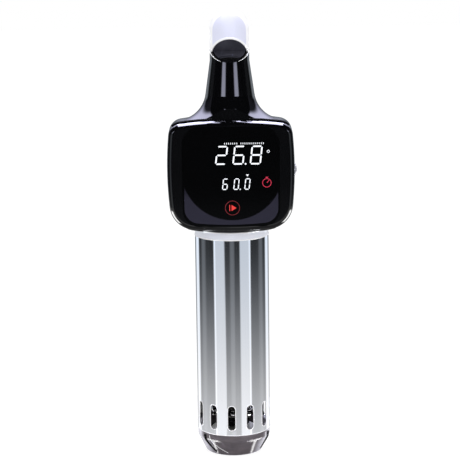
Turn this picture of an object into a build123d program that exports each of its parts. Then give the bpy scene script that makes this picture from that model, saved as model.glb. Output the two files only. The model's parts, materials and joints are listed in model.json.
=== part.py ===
"""Immersion circulator for sous vide cooking: display head with a gooseneck handle on a slotted steel skirt.

Frame: +Z up, the skirt's axis on Z, the origin where the skirt meets the collar. The display looks along -Y.
Lengths are in millimetres and angles in degrees.
"""

import math
import os

from build123d import *

os.makedirs("parts", exist_ok=True)

# Skirt tube
TUBE_RADIUS = 29.0
TUBE_WALL = 0.8
TUBE_LENGTH = 157.0
SLOT_COUNT = 12
SLOT_WIDTH = 6.4
SLOT_LENGTH = 20.3
SLOT_FOOT = 4.2
SLOT_TURN = -93.7
SLOT_BEVEL = 0.35

# Bayonet at both ends of the skirt
PIN_COUNT = 3
PIN_RADIUS = 0.8
PIN_REACH = 1.2
PIN_TURN = 30.0
TWIST = 25.0
SPIGOT_GAP = 0.2
GROOVE_GAP = 0.3
GROOVE_SPARE = 0.8

# Collar between the head and the skirt
BAND_HEIGHT = 8.0
COLLAR_SPIGOT = 12.0
COLLAR_BORE = 24.0
FLANGE_STEP = 1.4
FLANGE_HEIGHT = 2.5
SOCKET_RISE = 8.4
SOCKET_WALL = 1.6
BAND_BEVEL = 0.5
BAND_GROOVE = 0.6

# Head
HEAD_GAP = 0.5
HEAD_WIDTH = 97.6
HEAD_HEIGHT = 86.4
HEAD_FRONT = 36.0
HEAD_BACK = 34.0
HEAD_WAIST = 52.0
TOP_TUCK = 2.1
FOOT_TUCK = 3.4
CROWN = 3.5
TOP_CORNER = 10.0
FOOT_CORNER = 20.0
FRONT_ROUND = 4.0
BACK_ROUND = 5.0
BACK_TURN = 64.0
BACK_STEPS = 4
BACK_DRAW = 8.0
BACK_DROP = 4.0
BACK_CROWN = 8.5
WALL = 2.4
FACE_WALL = 4.5

# Neck and gooseneck handle
NECK_Y = -10.0
BELL_RADIUS = 36.0
BELL_DROP = 2.5
BELL_RISE = 19.8
NECK_FOOT_RADIUS = 18.9
HANDLE_RADIUS = 15.2
BEND_RISE = 43.3
BEND_RADIUS = 22.0
GRIP_RADIUS = 80.0
GRIP_SWEEP = 28.0
RIM_RISE = 7.0
NOTCH_SETBACK = 2.5
NOTCH_FALL = 31.0
NOTCH_RISE = 55.0
COVER_WALL = 1.6
COVER_GAP = 0.1
PLUG_LENGTH = 14.0
PLUG_GAP = 0.15
DIMPLE_WIDTH = 17.0
DIMPLE_LENGTH = 7.0
DIMPLE_DEPTH = 1.2
DIMPLE_REACH = 7.8

# Display panel
LENS_SIDE = 11.6
LENS_FOOT = 4.5
LENS_HEAD = 5.0
LENS_CORNER = 13.0
LENS_THICKNESS = 2.0
LENS_SINK = 0.12
LENS_GAP = 0.15
GASKET_WIDTH = 2.0
GASKET_THICKNESS = 0.4
TOUCH_WIDTH = 26.0
TOUCH_THICKNESS = 0.3
WINDOW_EDGE = 1.0
WINDOW_HEIGHT = 50.0
WINDOW_Z = 56.0
MODULE_DEPTH = 6.0
MODULE_GAP = 0.3
BOARD_THICKNESS = 1.6
BOARD_GAP = 0.4
BOARD_HEIGHT = 62.0
BUZZER_RADIUS = 6.0
BUZZER_HEIGHT = 5.0
BUZZER_EDGE = 4.0
BUZZER_DROP = 10.0
POST_RADIUS = 2.2
POST_X = 20.0
POST_EDGE = 2.6

# Thumb wheel on the right side
WHEEL_RADIUS = 8.0
WHEEL_WIDTH = 7.0
WHEEL_PROUD = 2.2
WHEEL_Y = -17.0
WHEEL_Z = 53.8
WHEEL_TEETH = 28
TOOTH_DEPTH = 0.45
AXLE_RADIUS = 1.5
RUNNING_GAP = 0.05
WHEEL_GAP = 0.5
EAR_THICKNESS = 1.2
EAR_HEIGHT = 9.0
ENCODER_LENGTH = 5.0

# Screws
SCREW_RADIUS = 1.5
SCREW_HEAD_RADIUS = 3.0
SCREW_HEAD_HEIGHT = 2.4
SCREW_SINK = 3.4
SCREW_SIDE = 13.8
SCREW_LOW = 17.0
SCREW_HIGH = 62.0
SCREW_BITE = 10.0
SCREW_GAP = 0.1
BOSS_RADIUS = 4.6

# Rear of the head
VENT_COUNT = 6
VENT_WIDTH = 34.0
VENT_HEIGHT = 2.4
VENT_PITCH = 5.6
VENT_Z = 70.0
GLAND_RADIUS = 7.0
GLAND_FLANGE = 9.0
GLAND_FLANGE_HEIGHT = 2.5
GLAND_NOSE = 10.0
GLAND_TIP_RADIUS = 5.4
GLAND_BORE = 3.6
GLAND_HEIGHT = 22.0
GLAND_GAP = 0.2
NUT_HEIGHT = 4.0
POWER_BOARD_Y = 21.0
POWER_BOARD_EDGE = 2.0
POWER_BOARD_HEIGHT = 44.0
SINK_FINS = 7
SINK_HEIGHT = 26.0
SINK_FIN = 1.2
SINK_PITCH = 4.4
SINK_DEPTH = 6.0
SINK_BASE = 2.0

# Motor
MOTOR_RADIUS = 17.0
MOTOR_HEIGHT = 32.0
MOTOR_WALL = 1.6
MOTOR_SHAFT_RADIUS = 2.0
STATOR_THICKNESS = 4.0
AIR_GAP = 0.5
BRACKET_RADIUS = 23.5
BRACKET_THICKNESS = 3.0
BRACKET_LEG = 12.5
BRACKET_LEG_RADIUS = 2.8
LEG_SCREW_RADIUS = 1.2
LEG_SCREW_HEAD = 2.2
LEG_SCREW_BITE = 2.0
FAN_RADIUS = 17.0
FAN_HUB = 5.0
FAN_HEIGHT = 6.0
FAN_BLADES = 7
FAN_GAP = 3.0
BLADE_THICKNESS = 1.2
COUPLING_RADIUS = 6.5
COUPLING_HEIGHT = 16.0

# Pump
SHAFT_RADIUS = 2.5
BULKHEAD_THICKNESS = 5.0
BOSS_HEIGHT = 8.0
BULKHEAD_GAP = 0.25
SEAL_RADIUS = 1.0
BUSH_WALL = 2.0
BUSH_HEIGHT = 6.0
LIP_HEIGHT = 3.0
STEM_WALL = 1.5
STEM_SEAT = 4.0
PLATE_RADIUS = 12.4
PLATE_THICKNESS = 4.0
PLATE_LIFT = 3.0
IMPELLER_RADIUS = 18.0
IMPELLER_HUB = 5.0
IMPELLER_HEIGHT = 9.0
IMPELLER_BLADES = 6
IMPELLER_GAP = 4.0

# Heater and sensors
COIL_RADIUS = 16.0
COIL_WIRE = 3.0
COIL_PITCH = 9.0
COIL_TURNS = 6
COIL_LIFT = 9.8
COIL_START = 90.0
RISER_RADIUS = 4.0
RISER_CIRCLE = 23.7
SOCKET_DEPTH = 3.5
SOCKET_GAP = 0.05
PROBE_RADIUS = 1.6
PROBE_LENGTH = 108.0
ELECTRODE_RADIUS = 1.2
ELECTRODE_LENGTH = 62.0
SENSOR_CIRCLE = 23.0

# Bottom cap
CAP_RIM = 5.0
CAP_HEIGHT = 18.2
CAP_FOOT_RADIUS = 22.2
CAP_RIM_STEP = 0.3
CAP_WALL = 2.0
CAP_ROUND = 2.0
CAP_GAP = 0.15
CAP_PORT = 7.0
CAP_SPIGOT_WALL = 2.6
CAP_LIP = 0.3

# Places worked out from the sizes above
TUBE_BORE = TUBE_RADIUS - TUBE_WALL
SPIGOT_RADIUS = TUBE_BORE - SPIGOT_GAP
HEAD_FOOT = BAND_HEIGHT + HEAD_GAP
HEAD_TOP = HEAD_FOOT + HEAD_HEIGHT
SOCKET_TOP = HEAD_FOOT + SOCKET_RISE
FLANGE_Z = SOCKET_TOP + SCREW_GAP
FLANGE_TOP = FLANGE_Z + FLANGE_HEIGHT
FLANGE_RADIUS = TUBE_RADIUS + FLANGE_STEP
BELL_FOOT_Z = HEAD_TOP - BELL_DROP
BELL_TOP_Z = BELL_FOOT_Z + BELL_RISE
BEND_Z = HEAD_TOP + BEND_RISE
RIM_Z = BEND_Z + RIM_RISE
NOTCH_Y = NECK_Y - NOTCH_SETBACK
PARTING_Y = NECK_Y
TUBE_END = -TUBE_LENGTH
FAR = 2 * (HEAD_WIDTH + HEAD_HEIGHT + BEND_RISE)


def export(part, name):
    """Labels a finished piece and writes it as one STEP file."""
    part.label = name
    export_step(part, f"parts/{name}.step")


def polar(radius, angle, z=0.0):
    """The point at that radius and angle about the skirt's axis."""
    turn = math.radians(angle)
    return Vector(radius * math.cos(turn), radius * math.sin(turn), z)


def disc(radius, foot, top, x=0.0, y=0.0):
    """A plain upright cylinder."""
    with BuildPart() as made:
        with BuildSketch(Plane.XY.offset(foot)):
            with Locations((x, y)):
                Circle(radius)
        extrude(amount=top - foot)
    return made.part


def ring(outer, inner, foot, top):
    """A plain ring about the skirt's axis."""
    with BuildPart() as made:
        with BuildSketch(Plane.XY.offset(foot)):
            Circle(outer)
            Circle(inner, mode=Mode.SUBTRACT)
        extrude(amount=top - foot)
    return made.part


def rod(radius, x, z, start, end):
    """A plain cylinder along Y, from start to end."""
    with BuildPart() as made:
        with BuildSketch(Plane.XZ.offset(-start)):
            with Locations((x, z)):
                Circle(radius)
        extrude(amount=start - end)
    return made.part


def block(low, high):
    """A plain box between two corners."""
    size = [top - foot for foot, top in zip(low, high)]
    with BuildPart() as made:
        with Locations(low):
            Box(*size, align=(Align.MIN, Align.MIN, Align.MIN))
    return made.part


def side_region(points):
    """A wide prism whose side view, in Y and Z, is the polygon through those points."""
    with BuildPart() as made:
        with BuildSketch(Plane.YZ):
            with BuildLine():
                Polyline(*points, close=True)
            make_face()
        extrude(amount=FAR, both=True)
    return made.part


# Shapes that several pieces are cut from


def head_outline(inset, plane, backward=0.0):
    """The head's outline: four shallow arcs with round corners, drawn in by inset.

    It narrows and its top grows rounder from the parting plane (backward is 0) to the back (backward is 1).
    """
    wide = HEAD_WIDTH / 2 - inset - backward * BACK_DRAW
    crown = CROWN + backward * BACK_CROWN
    top_half = wide - TOP_TUCK
    foot_half = wide - FOOT_TUCK
    foot = HEAD_FOOT + inset
    top = HEAD_TOP - inset - backward * BACK_DROP
    waist = HEAD_FOOT + HEAD_WAIST
    with BuildSketch(plane) as outline:
        with BuildLine():
            ThreePointArc((-foot_half, foot + CROWN), (0, foot), (foot_half, foot + CROWN))
            ThreePointArc((foot_half, foot + CROWN), (wide, waist), (top_half, top - crown))
            ThreePointArc((top_half, top - crown), (0, top), (-top_half, top - crown))
            ThreePointArc((-top_half, top - crown), (-wide, waist), (-foot_half, foot + CROWN))
        make_face()
        fillet(outline.vertices().group_by(Axis.Y)[0], FOOT_CORNER - inset)
        fillet(outline.vertices().group_by(Axis.Y)[-1], TOP_CORNER - inset)
    return outline.sketch


def head_form(inset, face_wall):
    """The head's block with a pillowed back, drawn in by inset and set back from the face by face_wall."""
    front = HEAD_FRONT - face_wall
    back = HEAD_BACK - inset
    face = head_outline(inset, Plane.XZ.offset(front))
    last = math.radians(BACK_TURN)
    sections = []
    for step in range(BACK_STEPS + 1):
        turn = last * step / BACK_STEPS
        y = PARTING_Y + (back - PARTING_Y) * math.sin(turn) / math.sin(last)
        backward = (1 - math.cos(turn)) / (1 - math.cos(last))
        sections.append(head_outline(inset, Plane.XZ.offset(-y), backward).face())
    with BuildPart() as made:
        extrude(face, amount=-(front + PARTING_Y))
        if face_wall == 0:
            fillet(made.edges().group_by(Axis.Y)[0], FRONT_ROUND)
        loft(sections)
        fillet(made.edges().group_by(Axis.Y)[-1], BACK_ROUND - inset)
    return made.part


def neck_form(inset):
    """The neck, a bell that narrows upwards, as a turned shape."""
    lean = (NECK_FOOT_RADIUS - HANDLE_RADIUS) / (BEND_Z - BELL_TOP_Z)
    bell_foot = BELL_FOOT_Z - inset
    root = bell_foot - BELL_RISE
    with BuildPart() as made:
        with BuildSketch(Plane.XZ.offset(-NECK_Y)):
            with BuildLine():
                Line((0, root), (BELL_RADIUS - inset, root))
                Line((BELL_RADIUS - inset, root), (BELL_RADIUS - inset, bell_foot))
                TangentArc(
                    (NECK_FOOT_RADIUS - inset, BELL_TOP_Z),
                    (BELL_RADIUS - inset, bell_foot),
                    tangent=(lean, -1),
                )
                Line((NECK_FOOT_RADIUS - inset, BELL_TOP_Z), (HANDLE_RADIUS - inset, BEND_Z))
                Line((HANDLE_RADIUS - inset, BEND_Z), (0, BEND_Z))
                Line((0, BEND_Z), (0, root))
            make_face()
        revolve(axis=Axis((0, NECK_Y, 0), (0, 0, 1)))
    return made.part


def handle_form(radius):
    """The gooseneck: a round bar that rises, bends back and droops to a round end."""
    with BuildPart() as made:
        with BuildLine(Plane.YZ) as path:
            bend = JernArc((NECK_Y, BEND_Z), (0, 1), BEND_RADIUS, -90)
            JernArc(bend @ 1, bend % 1, GRIP_RADIUS, -GRIP_SWEEP)
        with BuildSketch(Plane.XY.offset(BEND_Z)):
            with Locations((0, NECK_Y)):
                Circle(radius)
        sweep(path=path.wires()[0])
        with Locations(path.wires()[0] @ 1):
            Sphere(radius)
    return made.part


def behind_neck():
    """The side view of the space behind the neck that the grip hangs in, from its far end to the rim."""
    behind = NECK_Y + NECK_FOOT_RADIUS + WHEEL_GAP
    return [(FAR, BELL_TOP_Z), (behind, BELL_TOP_Z), (behind, RIM_Z)]


def rim_points():
    """The side view of what lies above the neck's rim: a slope at the front, level behind it."""
    fall = math.radians(NOTCH_FALL)
    reach = 2 * HANDLE_RADIUS
    low = (NOTCH_Y - reach, RIM_Z - reach * math.tan(fall))
    return [(NOTCH_Y, RIM_Z), low, (low[0], FAR), (FAR, FAR)] + behind_neck()


def beak_points():
    """The side view of the handle's core: level below, and sloping forward above the finger notch."""
    rise = math.radians(NOTCH_RISE)
    reach = 4 * HANDLE_RADIUS
    high = (NOTCH_Y - reach * math.cos(rise), RIM_Z + reach * math.sin(rise))
    return [(NOTCH_Y, RIM_Z), high, (FAR, high[1])] + behind_neck()


def cover_region():
    """The wide prism above the parting line between the handle's core and its cover."""
    rise = math.radians(NOTCH_RISE)
    reach = 4 * HANDLE_RADIUS
    start = (NOTCH_Y, RIM_Z)
    high = (NOTCH_Y - reach * math.cos(rise), RIM_Z + reach * math.sin(rise))
    grip_y = NECK_Y + BEND_RADIUS
    grip_z = BEND_Z + BEND_RADIUS
    crest = (grip_y, grip_z - HANDLE_RADIUS / 3)
    sweep_turn = math.radians(GRIP_SWEEP)
    tip_drop = GRIP_RADIUS * (1 - math.cos(sweep_turn)) + HANDLE_RADIUS
    tip = (grip_y + GRIP_RADIUS * math.sin(sweep_turn) + HANDLE_RADIUS, grip_z - tip_drop)
    with BuildPart() as made:
        with BuildSketch(Plane.YZ):
            with BuildLine():
                ThreePointArc(start, crest, tip)
                Polyline(tip, (tip[0], high[1]), high, start)
            make_face()
        extrude(amount=FAR, both=True)
    return made.part


def neck_cavity():
    """The hollow of the neck, kept a wall behind the bell's flat front."""
    with BuildPart() as made:
        add(neck_form(WALL))
        with Locations((0, FRONT_ROUND + WALL - HEAD_FRONT, HEAD_TOP)):
            Box(FAR, FAR, FAR, align=(Align.CENTER, Align.MAX, Align.CENTER), mode=Mode.SUBTRACT)
    return made.part


def socket_boss():
    """The thick ring inside the head's foot that the collar's flange stands on."""
    with BuildPart() as made:
        add(head_form(0, 0))
        add(disc(FLANGE_RADIUS + SOCKET_WALL, HEAD_FOOT, SOCKET_TOP), mode=Mode.INTERSECT)
    return made.part


def casing_form():
    """Both halves of the casing as one hollow shell, before they are parted and pierced."""
    with BuildPart() as made:
        add(neck_form(0))
        with Locations((0, FRONT_ROUND - HEAD_FRONT, HEAD_TOP)):
            Box(FAR, FAR, FAR, align=(Align.CENTER, Align.MAX, Align.CENTER), mode=Mode.SUBTRACT)
        add(head_form(0, 0))
        add(handle_form(HANDLE_RADIUS))
        add(head_form(WALL, FACE_WALL), mode=Mode.SUBTRACT)
        add(neck_cavity(), mode=Mode.SUBTRACT)
        add(handle_form(HANDLE_RADIUS - WALL), mode=Mode.SUBTRACT)
        add(socket_boss())
        add(disc(TUBE_RADIUS + SPIGOT_GAP, 0, SOCKET_TOP), mode=Mode.SUBTRACT)
        add(side_region(rim_points()), mode=Mode.SUBTRACT)
    return made.part


def pin_grooves(z, away):
    """Cutters for the level grooves, each from its pin's rest for TWIST degrees to the side away gives."""
    floor = TUBE_BORE - PIN_REACH - GROOVE_GAP
    half = PIN_RADIUS + GROOVE_GAP
    spare = math.degrees(half / floor) + GROOVE_SPARE
    with BuildPart() as made:
        for index in range(PIN_COUNT):
            rest = PIN_TURN + index * 360 / PIN_COUNT
            far = rest + away * TWIST
            add(sector(floor, z - half, z + half, min(rest, far) - spare, max(rest, far) + spare))
    return made.part


def pin_ways(foot, top, away):
    """Cutters for the ways that let each pin into the far end of its groove."""
    floor = TUBE_BORE - PIN_REACH - GROOVE_GAP
    spare = math.degrees((PIN_RADIUS + GROOVE_GAP) / floor) + GROOVE_SPARE
    with BuildPart() as made:
        for index in range(PIN_COUNT):
            far = PIN_TURN + index * 360 / PIN_COUNT + away * TWIST
            add(sector(floor, foot, top, far - spare, far + spare))
    return made.part


def sector(inner, foot, top, low, high):
    """A piece of a ring between two angles, from the inner radius to outside the skirt."""
    middle = (inner + TUBE_RADIUS) / 2
    with BuildPart() as made:
        with BuildSketch(Plane.XZ.rotated((0, 0, low))):
            with Locations((middle, (foot + top) / 2)):
                Rectangle(TUBE_RADIUS - inner, top - foot)
        revolve(axis=Axis.Z, revolution_arc=high - low)
    return made.part


def studs(z):
    """The bayonet pins at that height, standing inward from the tube's bore."""
    with BuildPart() as made:
        for index in range(PIN_COUNT):
            angle = PIN_TURN + index * 360 / PIN_COUNT
            start = polar(TUBE_BORE - PIN_REACH, angle, z)
            with BuildSketch(Plane(start, x_dir=(0, 0, 1), z_dir=polar(1, angle))):
                Circle(PIN_RADIUS)
            extrude(amount=PIN_REACH + TUBE_WALL)
        add(disc(TUBE_BORE, z - 2 * PIN_RADIUS, z + 2 * PIN_RADIUS), mode=Mode.INTERSECT)
    return made.part


# Places of the fasteners, boards and shaft parts
SCREW_X = HEAD_WIDTH / 2 - SCREW_SIDE
SCREW_PLACES = [
    (-SCREW_X, HEAD_FOOT + SCREW_LOW),
    (SCREW_X, HEAD_FOOT + SCREW_LOW),
    (-SCREW_X, HEAD_FOOT + SCREW_HIGH),
    (SCREW_X, HEAD_FOOT + SCREW_HIGH),
]
FACE_INNER = FACE_WALL - HEAD_FRONT
BACK_INNER = HEAD_BACK - WALL
SCREW_SEAT = HEAD_BACK - SCREW_SINK - SCREW_HEAD_HEIGHT
LENS_WIDTH = HEAD_WIDTH - 2 * LENS_SIDE
LENS_LOW = HEAD_FOOT + LENS_FOOT
LENS_HIGH = HEAD_TOP - LENS_HEAD
LENS_Z = (LENS_LOW + LENS_HIGH) / 2
LENS_HEIGHT = LENS_HIGH - LENS_LOW
LENS_FRONT = LENS_SINK - HEAD_FRONT
LENS_BACK = LENS_FRONT + LENS_THICKNESS
RECESS = LENS_SINK + LENS_THICKNESS + GASKET_THICKNESS
MODULE_FRONT = LENS_BACK + MODULE_GAP
BOARD_Y = MODULE_FRONT + MODULE_DEPTH
BOARD_WIDTH = 2 * (SCREW_X - BOSS_RADIUS - BOARD_GAP)
WINDOW_WIDTH = BOARD_WIDTH - 2 * WINDOW_EDGE
BOARD_BACK = BOARD_Y + BOARD_THICKNESS
BOARD_LOW = WINDOW_Z - BOARD_HEIGHT / 2
BOARD_HIGH = WINDOW_Z + BOARD_HEIGHT / 2
WHEEL_X = HEAD_WIDTH / 2 + WHEEL_PROUD - WHEEL_RADIUS
WHEEL_FRONT = WHEEL_Y - WHEEL_WIDTH / 2
WHEEL_BACK = WHEEL_Y + WHEEL_WIDTH / 2
GLAND_Z = HEAD_FOOT + GLAND_HEIGHT
POWER_BOARD_BACK = POWER_BOARD_Y + BOARD_THICKNESS
POWER_BOARD_WIDTH = BOARD_WIDTH - 2 * POWER_BOARD_EDGE
POWER_POST_X = POWER_BOARD_WIDTH / 2 - 2 * POST_EDGE
POWER_POST_Z = POWER_BOARD_HEIGHT / 2 - POST_EDGE
POWER_Z = HEAD_FOOT + HEAD_WAIST
BULKHEAD_TOP = -COLLAR_SPIGOT
BULKHEAD_FOOT = BULKHEAD_TOP - BULKHEAD_THICKNESS
BOSS_TOP = BULKHEAD_TOP + BOSS_HEIGHT
BULKHEAD_SCREW_TOP = BULKHEAD_TOP + BULKHEAD_THICKNESS
BULKHEAD_SCREW_RADIUS = (SPIGOT_RADIUS - COLLAR_BORE) / 4
BULKHEAD_SCREW_CIRCLE = (COLLAR_BORE + SPIGOT_RADIUS - PIN_REACH - GROOVE_GAP) / 2
BULKHEAD_SCREW_PLACES = [polar(BULKHEAD_SCREW_CIRCLE, PIN_TURN + 60 + index * 120) for index in range(3)]
STEM_BORE = SHAFT_RADIUS + RUNNING_GAP + BUSH_WALL
STEM_RADIUS = STEM_BORE + STEM_WALL
STEM_TOP = BULKHEAD_FOOT + STEM_SEAT
PLATE_FOOT = TUBE_END + PLATE_LIFT
PLATE_TOP = PLATE_FOOT + PLATE_THICKNESS
STEM_FOOT = PLATE_TOP - PLATE_THICKNESS / 2
LEG_PLACES = [polar((COLLAR_BORE + FLANGE_RADIUS) / 2, 45 + index * 90) for index in range(4)]
BRACKET_FOOT = FLANGE_TOP + BRACKET_LEG
BRACKET_TOP = BRACKET_FOOT + BRACKET_THICKNESS
MOTOR_TOP = BRACKET_TOP + MOTOR_HEIGHT
FAN_FOOT = MOTOR_TOP + FAN_GAP
COUPLING_FOOT = BOSS_TOP + 2 * FAN_GAP
COUPLING_TOP = COUPLING_FOOT + COUPLING_HEIGHT
COUPLING_MIDDLE = (COUPLING_FOOT + COUPLING_TOP) / 2
IMPELLER_TOP = PLATE_FOOT - IMPELLER_GAP
IMPELLER_FOOT = IMPELLER_TOP - IMPELLER_HEIGHT
COIL_FOOT = TUBE_END + COIL_LIFT
COIL_TOP = COIL_FOOT + COIL_PITCH * COIL_TURNS
CAP_SPIGOT = SLOT_FOOT - CAP_LIP
CAP_PIN_Z = TUBE_END + CAP_SPIGOT / 2
COLLAR_PIN_Z = -COLLAR_SPIGOT / 2
CAP_TOP = TUBE_END - CAP_GAP
CAP_FOOT = CAP_TOP - CAP_HEIGHT

casing = casing_form()

# Front half of the casing: face wall, window, lens seat, board posts, screw bosses and the wheel's slot
with BuildPart() as front_shell:
    add(casing)
    split(bisect_by=Plane.XZ.offset(-PARTING_Y), keep=Keep.TOP)
    for screw_x, screw_z in SCREW_PLACES:
        add(rod(BOSS_RADIUS, screw_x, screw_z, FACE_INNER - SCREW_GAP, PARTING_Y))
        add(rod(SCREW_RADIUS, screw_x, screw_z, PARTING_Y - SCREW_BITE, PARTING_Y), mode=Mode.SUBTRACT)
    for post_x in (-POST_X, POST_X):
        for post_z in (BOARD_LOW + POST_EDGE, BOARD_HIGH - POST_EDGE):
            add(rod(POST_RADIUS, post_x, post_z, FACE_INNER - SCREW_GAP, BOARD_Y))
    with BuildSketch(Plane.XZ.offset(HEAD_FRONT)):
        with Locations((0, LENS_Z)):
            RectangleRounded(LENS_WIDTH, LENS_HEIGHT, LENS_CORNER)
    extrude(amount=-RECESS, mode=Mode.SUBTRACT)
    with BuildSketch(Plane.XZ.offset(HEAD_FRONT)):
        with Locations((0, WINDOW_Z)):
            Rectangle(WINDOW_WIDTH, WINDOW_HEIGHT)
    extrude(amount=-2 * FACE_WALL, mode=Mode.SUBTRACT)
    add(
        rod(WHEEL_RADIUS + WHEEL_GAP, WHEEL_X, WHEEL_Z, WHEEL_FRONT - WHEEL_GAP, WHEEL_BACK + WHEEL_GAP),
        mode=Mode.SUBTRACT,
    )
export(front_shell.part, "front_shell")

# Bosses of the rear half, trimmed to stay inside its round back
with BuildPart() as rear_bosses:
    for screw_x, screw_z in SCREW_PLACES:
        add(rod(BOSS_RADIUS, screw_x, screw_z, PARTING_Y, HEAD_BACK))
    for post_x in (-POWER_POST_X, POWER_POST_X):
        for post_z in (POWER_Z - POWER_POST_Z, POWER_Z + POWER_POST_Z):
            add(rod(POST_RADIUS, post_x, post_z, POWER_BOARD_BACK, HEAD_BACK))
    add(head_form(WALL / 2, FACE_WALL), mode=Mode.INTERSECT)

# Rear half of the casing: screw wells, board posts, vents and the cord gland's hole
with BuildPart() as rear_shell:
    add(casing)
    split(bisect_by=Plane.XZ.offset(-PARTING_Y), keep=Keep.BOTTOM)
    add(rear_bosses.part)
    for screw_x, screw_z in SCREW_PLACES:
        add(rod(SCREW_RADIUS + SCREW_GAP, screw_x, screw_z, PARTING_Y, HEAD_BACK), mode=Mode.SUBTRACT)
        well = SCREW_HEAD_RADIUS + 3 * SCREW_GAP
        add(rod(well, screw_x, screw_z, SCREW_SEAT, HEAD_BACK), mode=Mode.SUBTRACT)
    with BuildSketch(Plane.XZ.offset(-HEAD_BACK)):
        for index in range(VENT_COUNT):
            rise = (index - (VENT_COUNT - 1) / 2) * VENT_PITCH
            with Locations((0, VENT_Z + rise)):
                SlotOverall(VENT_WIDTH, VENT_HEIGHT)
    extrude(amount=2 * WALL, mode=Mode.SUBTRACT)
    add(rod(GLAND_RADIUS + GLAND_GAP, 0, GLAND_Z, BACK_INNER - WALL, HEAD_BACK), mode=Mode.SUBTRACT)
export(rear_shell.part, "rear_shell")

# Screws that close the casing
with BuildPart() as housing_screws:
    for screw_x, screw_z in SCREW_PLACES:
        add(rod(SCREW_RADIUS, screw_x, screw_z, PARTING_Y - SCREW_BITE + SCREW_GAP, SCREW_SEAT))
        add(rod(SCREW_HEAD_RADIUS, screw_x, screw_z, SCREW_SEAT, SCREW_SEAT + SCREW_HEAD_HEIGHT))
        with BuildSketch(Plane.XZ.offset(-SCREW_SEAT - SCREW_HEAD_HEIGHT)):
            with Locations((screw_x, screw_z)):
                RegularPolygon(SCREW_HEAD_RADIUS / 2, 6)
        extrude(amount=SCREW_HEAD_HEIGHT / 2, mode=Mode.SUBTRACT)
export(housing_screws.part, "housing_screws")

# Core of the handle: beak over the finger notch, grip, and the plug that closes the neck
with BuildPart() as cover_band:
    add(handle_form(HANDLE_RADIUS))
    add(handle_form(HANDLE_RADIUS - COVER_WALL - COVER_GAP), mode=Mode.SUBTRACT)
    add(cover_region(), mode=Mode.INTERSECT)
with BuildPart() as neck_plug:
    plug_radius = HANDLE_RADIUS - WALL - PLUG_GAP
    add(handle_form(plug_radius))
    add(disc(plug_radius, RIM_Z - PLUG_LENGTH, BEND_Z, 0, NECK_Y))
    add(side_region(rim_points()), mode=Mode.SUBTRACT)
slope_turn = math.radians(NOTCH_FALL)
dimple_at = (0, NOTCH_Y - DIMPLE_REACH, RIM_Z - DIMPLE_REACH * math.tan(slope_turn))
dimple_up = (0, -math.sin(slope_turn), math.cos(slope_turn))
with BuildPart() as handle_core:
    add(handle_form(HANDLE_RADIUS))
    add(side_region(beak_points()), mode=Mode.INTERSECT)
    add(cover_band.part, mode=Mode.SUBTRACT)
    add(neck_plug.part)
    with BuildSketch(Plane(dimple_at, x_dir=(1, 0, 0), z_dir=dimple_up)):
        Ellipse(DIMPLE_WIDTH / 2, DIMPLE_LENGTH / 2)
    extrude(amount=-DIMPLE_DEPTH, mode=Mode.SUBTRACT)
export(handle_core.part, "handle_core")

# Bright cover over the bend and the top of the grip
with BuildPart() as handle_cover:
    add(handle_form(HANDLE_RADIUS))
    add(handle_form(HANDLE_RADIUS - COVER_WALL), mode=Mode.SUBTRACT)
    add(cover_region(), mode=Mode.INTERSECT)
export(handle_cover.part, "handle_cover")

# Display lens, its gasket, the display and the board behind it
with BuildPart() as display_lens:
    with BuildSketch(Plane.XZ.offset(-LENS_FRONT)):
        with Locations((0, LENS_Z)):
            RectangleRounded(LENS_WIDTH - 2 * LENS_GAP, LENS_HEIGHT - 2 * LENS_GAP, LENS_CORNER - LENS_GAP)
    extrude(amount=-LENS_THICKNESS)
    chamfer(display_lens.edges().group_by(Axis.Y)[0], LENS_GAP)
export(display_lens.part, "display_lens")

with BuildPart() as lens_gasket:
    with BuildSketch(Plane.XZ.offset(-LENS_BACK)):
        with Locations((0, LENS_Z)):
            outer_width = LENS_WIDTH - 4 * LENS_GAP
            outer_height = LENS_HEIGHT - 4 * LENS_GAP
            RectangleRounded(outer_width, outer_height, LENS_CORNER - 2 * LENS_GAP)
            inner_width = outer_width - 2 * GASKET_WIDTH
            inner_height = outer_height - 2 * GASKET_WIDTH
            RectangleRounded(inner_width, inner_height, LENS_CORNER - GASKET_WIDTH, mode=Mode.SUBTRACT)
    extrude(amount=-GASKET_THICKNESS)
export(lens_gasket.part, "lens_gasket")

with BuildPart() as touch_film:
    film_low = LENS_LOW + GASKET_WIDTH + LENS_GAP * 4
    film_high = WINDOW_Z - WINDOW_HEIGHT / 2 - MODULE_GAP
    film_half = TOUCH_WIDTH / 2
    add(block((-film_half, LENS_BACK, film_low), (film_half, LENS_BACK + TOUCH_THICKNESS, film_high)))
export(touch_film.part, "touch_film")

module_half = WINDOW_WIDTH / 2 - MODULE_GAP
module_low = WINDOW_Z - WINDOW_HEIGHT / 2 + MODULE_GAP
module_high = WINDOW_Z + WINDOW_HEIGHT / 2 - MODULE_GAP
with BuildPart() as display_module:
    add(block((-module_half, MODULE_FRONT, module_low), (module_half, BOARD_Y, module_high)))
    chamfer(display_module.edges().group_by(Axis.Y)[0], MODULE_GAP)
export(display_module.part, "display_module")

with BuildPart() as control_board:
    add(block((-BOARD_WIDTH / 2, BOARD_Y, BOARD_LOW), (BOARD_WIDTH / 2, BOARD_BACK, BOARD_HIGH)))
export(control_board.part, "control_board")

with BuildPart() as buzzer:
    buzzer_x = BUZZER_EDGE + BUZZER_RADIUS - BOARD_WIDTH / 2
    buzzer_z = WINDOW_Z - BUZZER_DROP
    buzzer_back = BOARD_BACK + BUZZER_HEIGHT
    add(rod(BUZZER_RADIUS, buzzer_x, buzzer_z, BOARD_BACK, buzzer_back))
    sound_depth = buzzer_back - BUZZER_HEIGHT / 2
    add(rod(AXLE_RADIUS, buzzer_x, buzzer_z, sound_depth, buzzer_back), mode=Mode.SUBTRACT)
export(buzzer.part, "buzzer")

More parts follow.
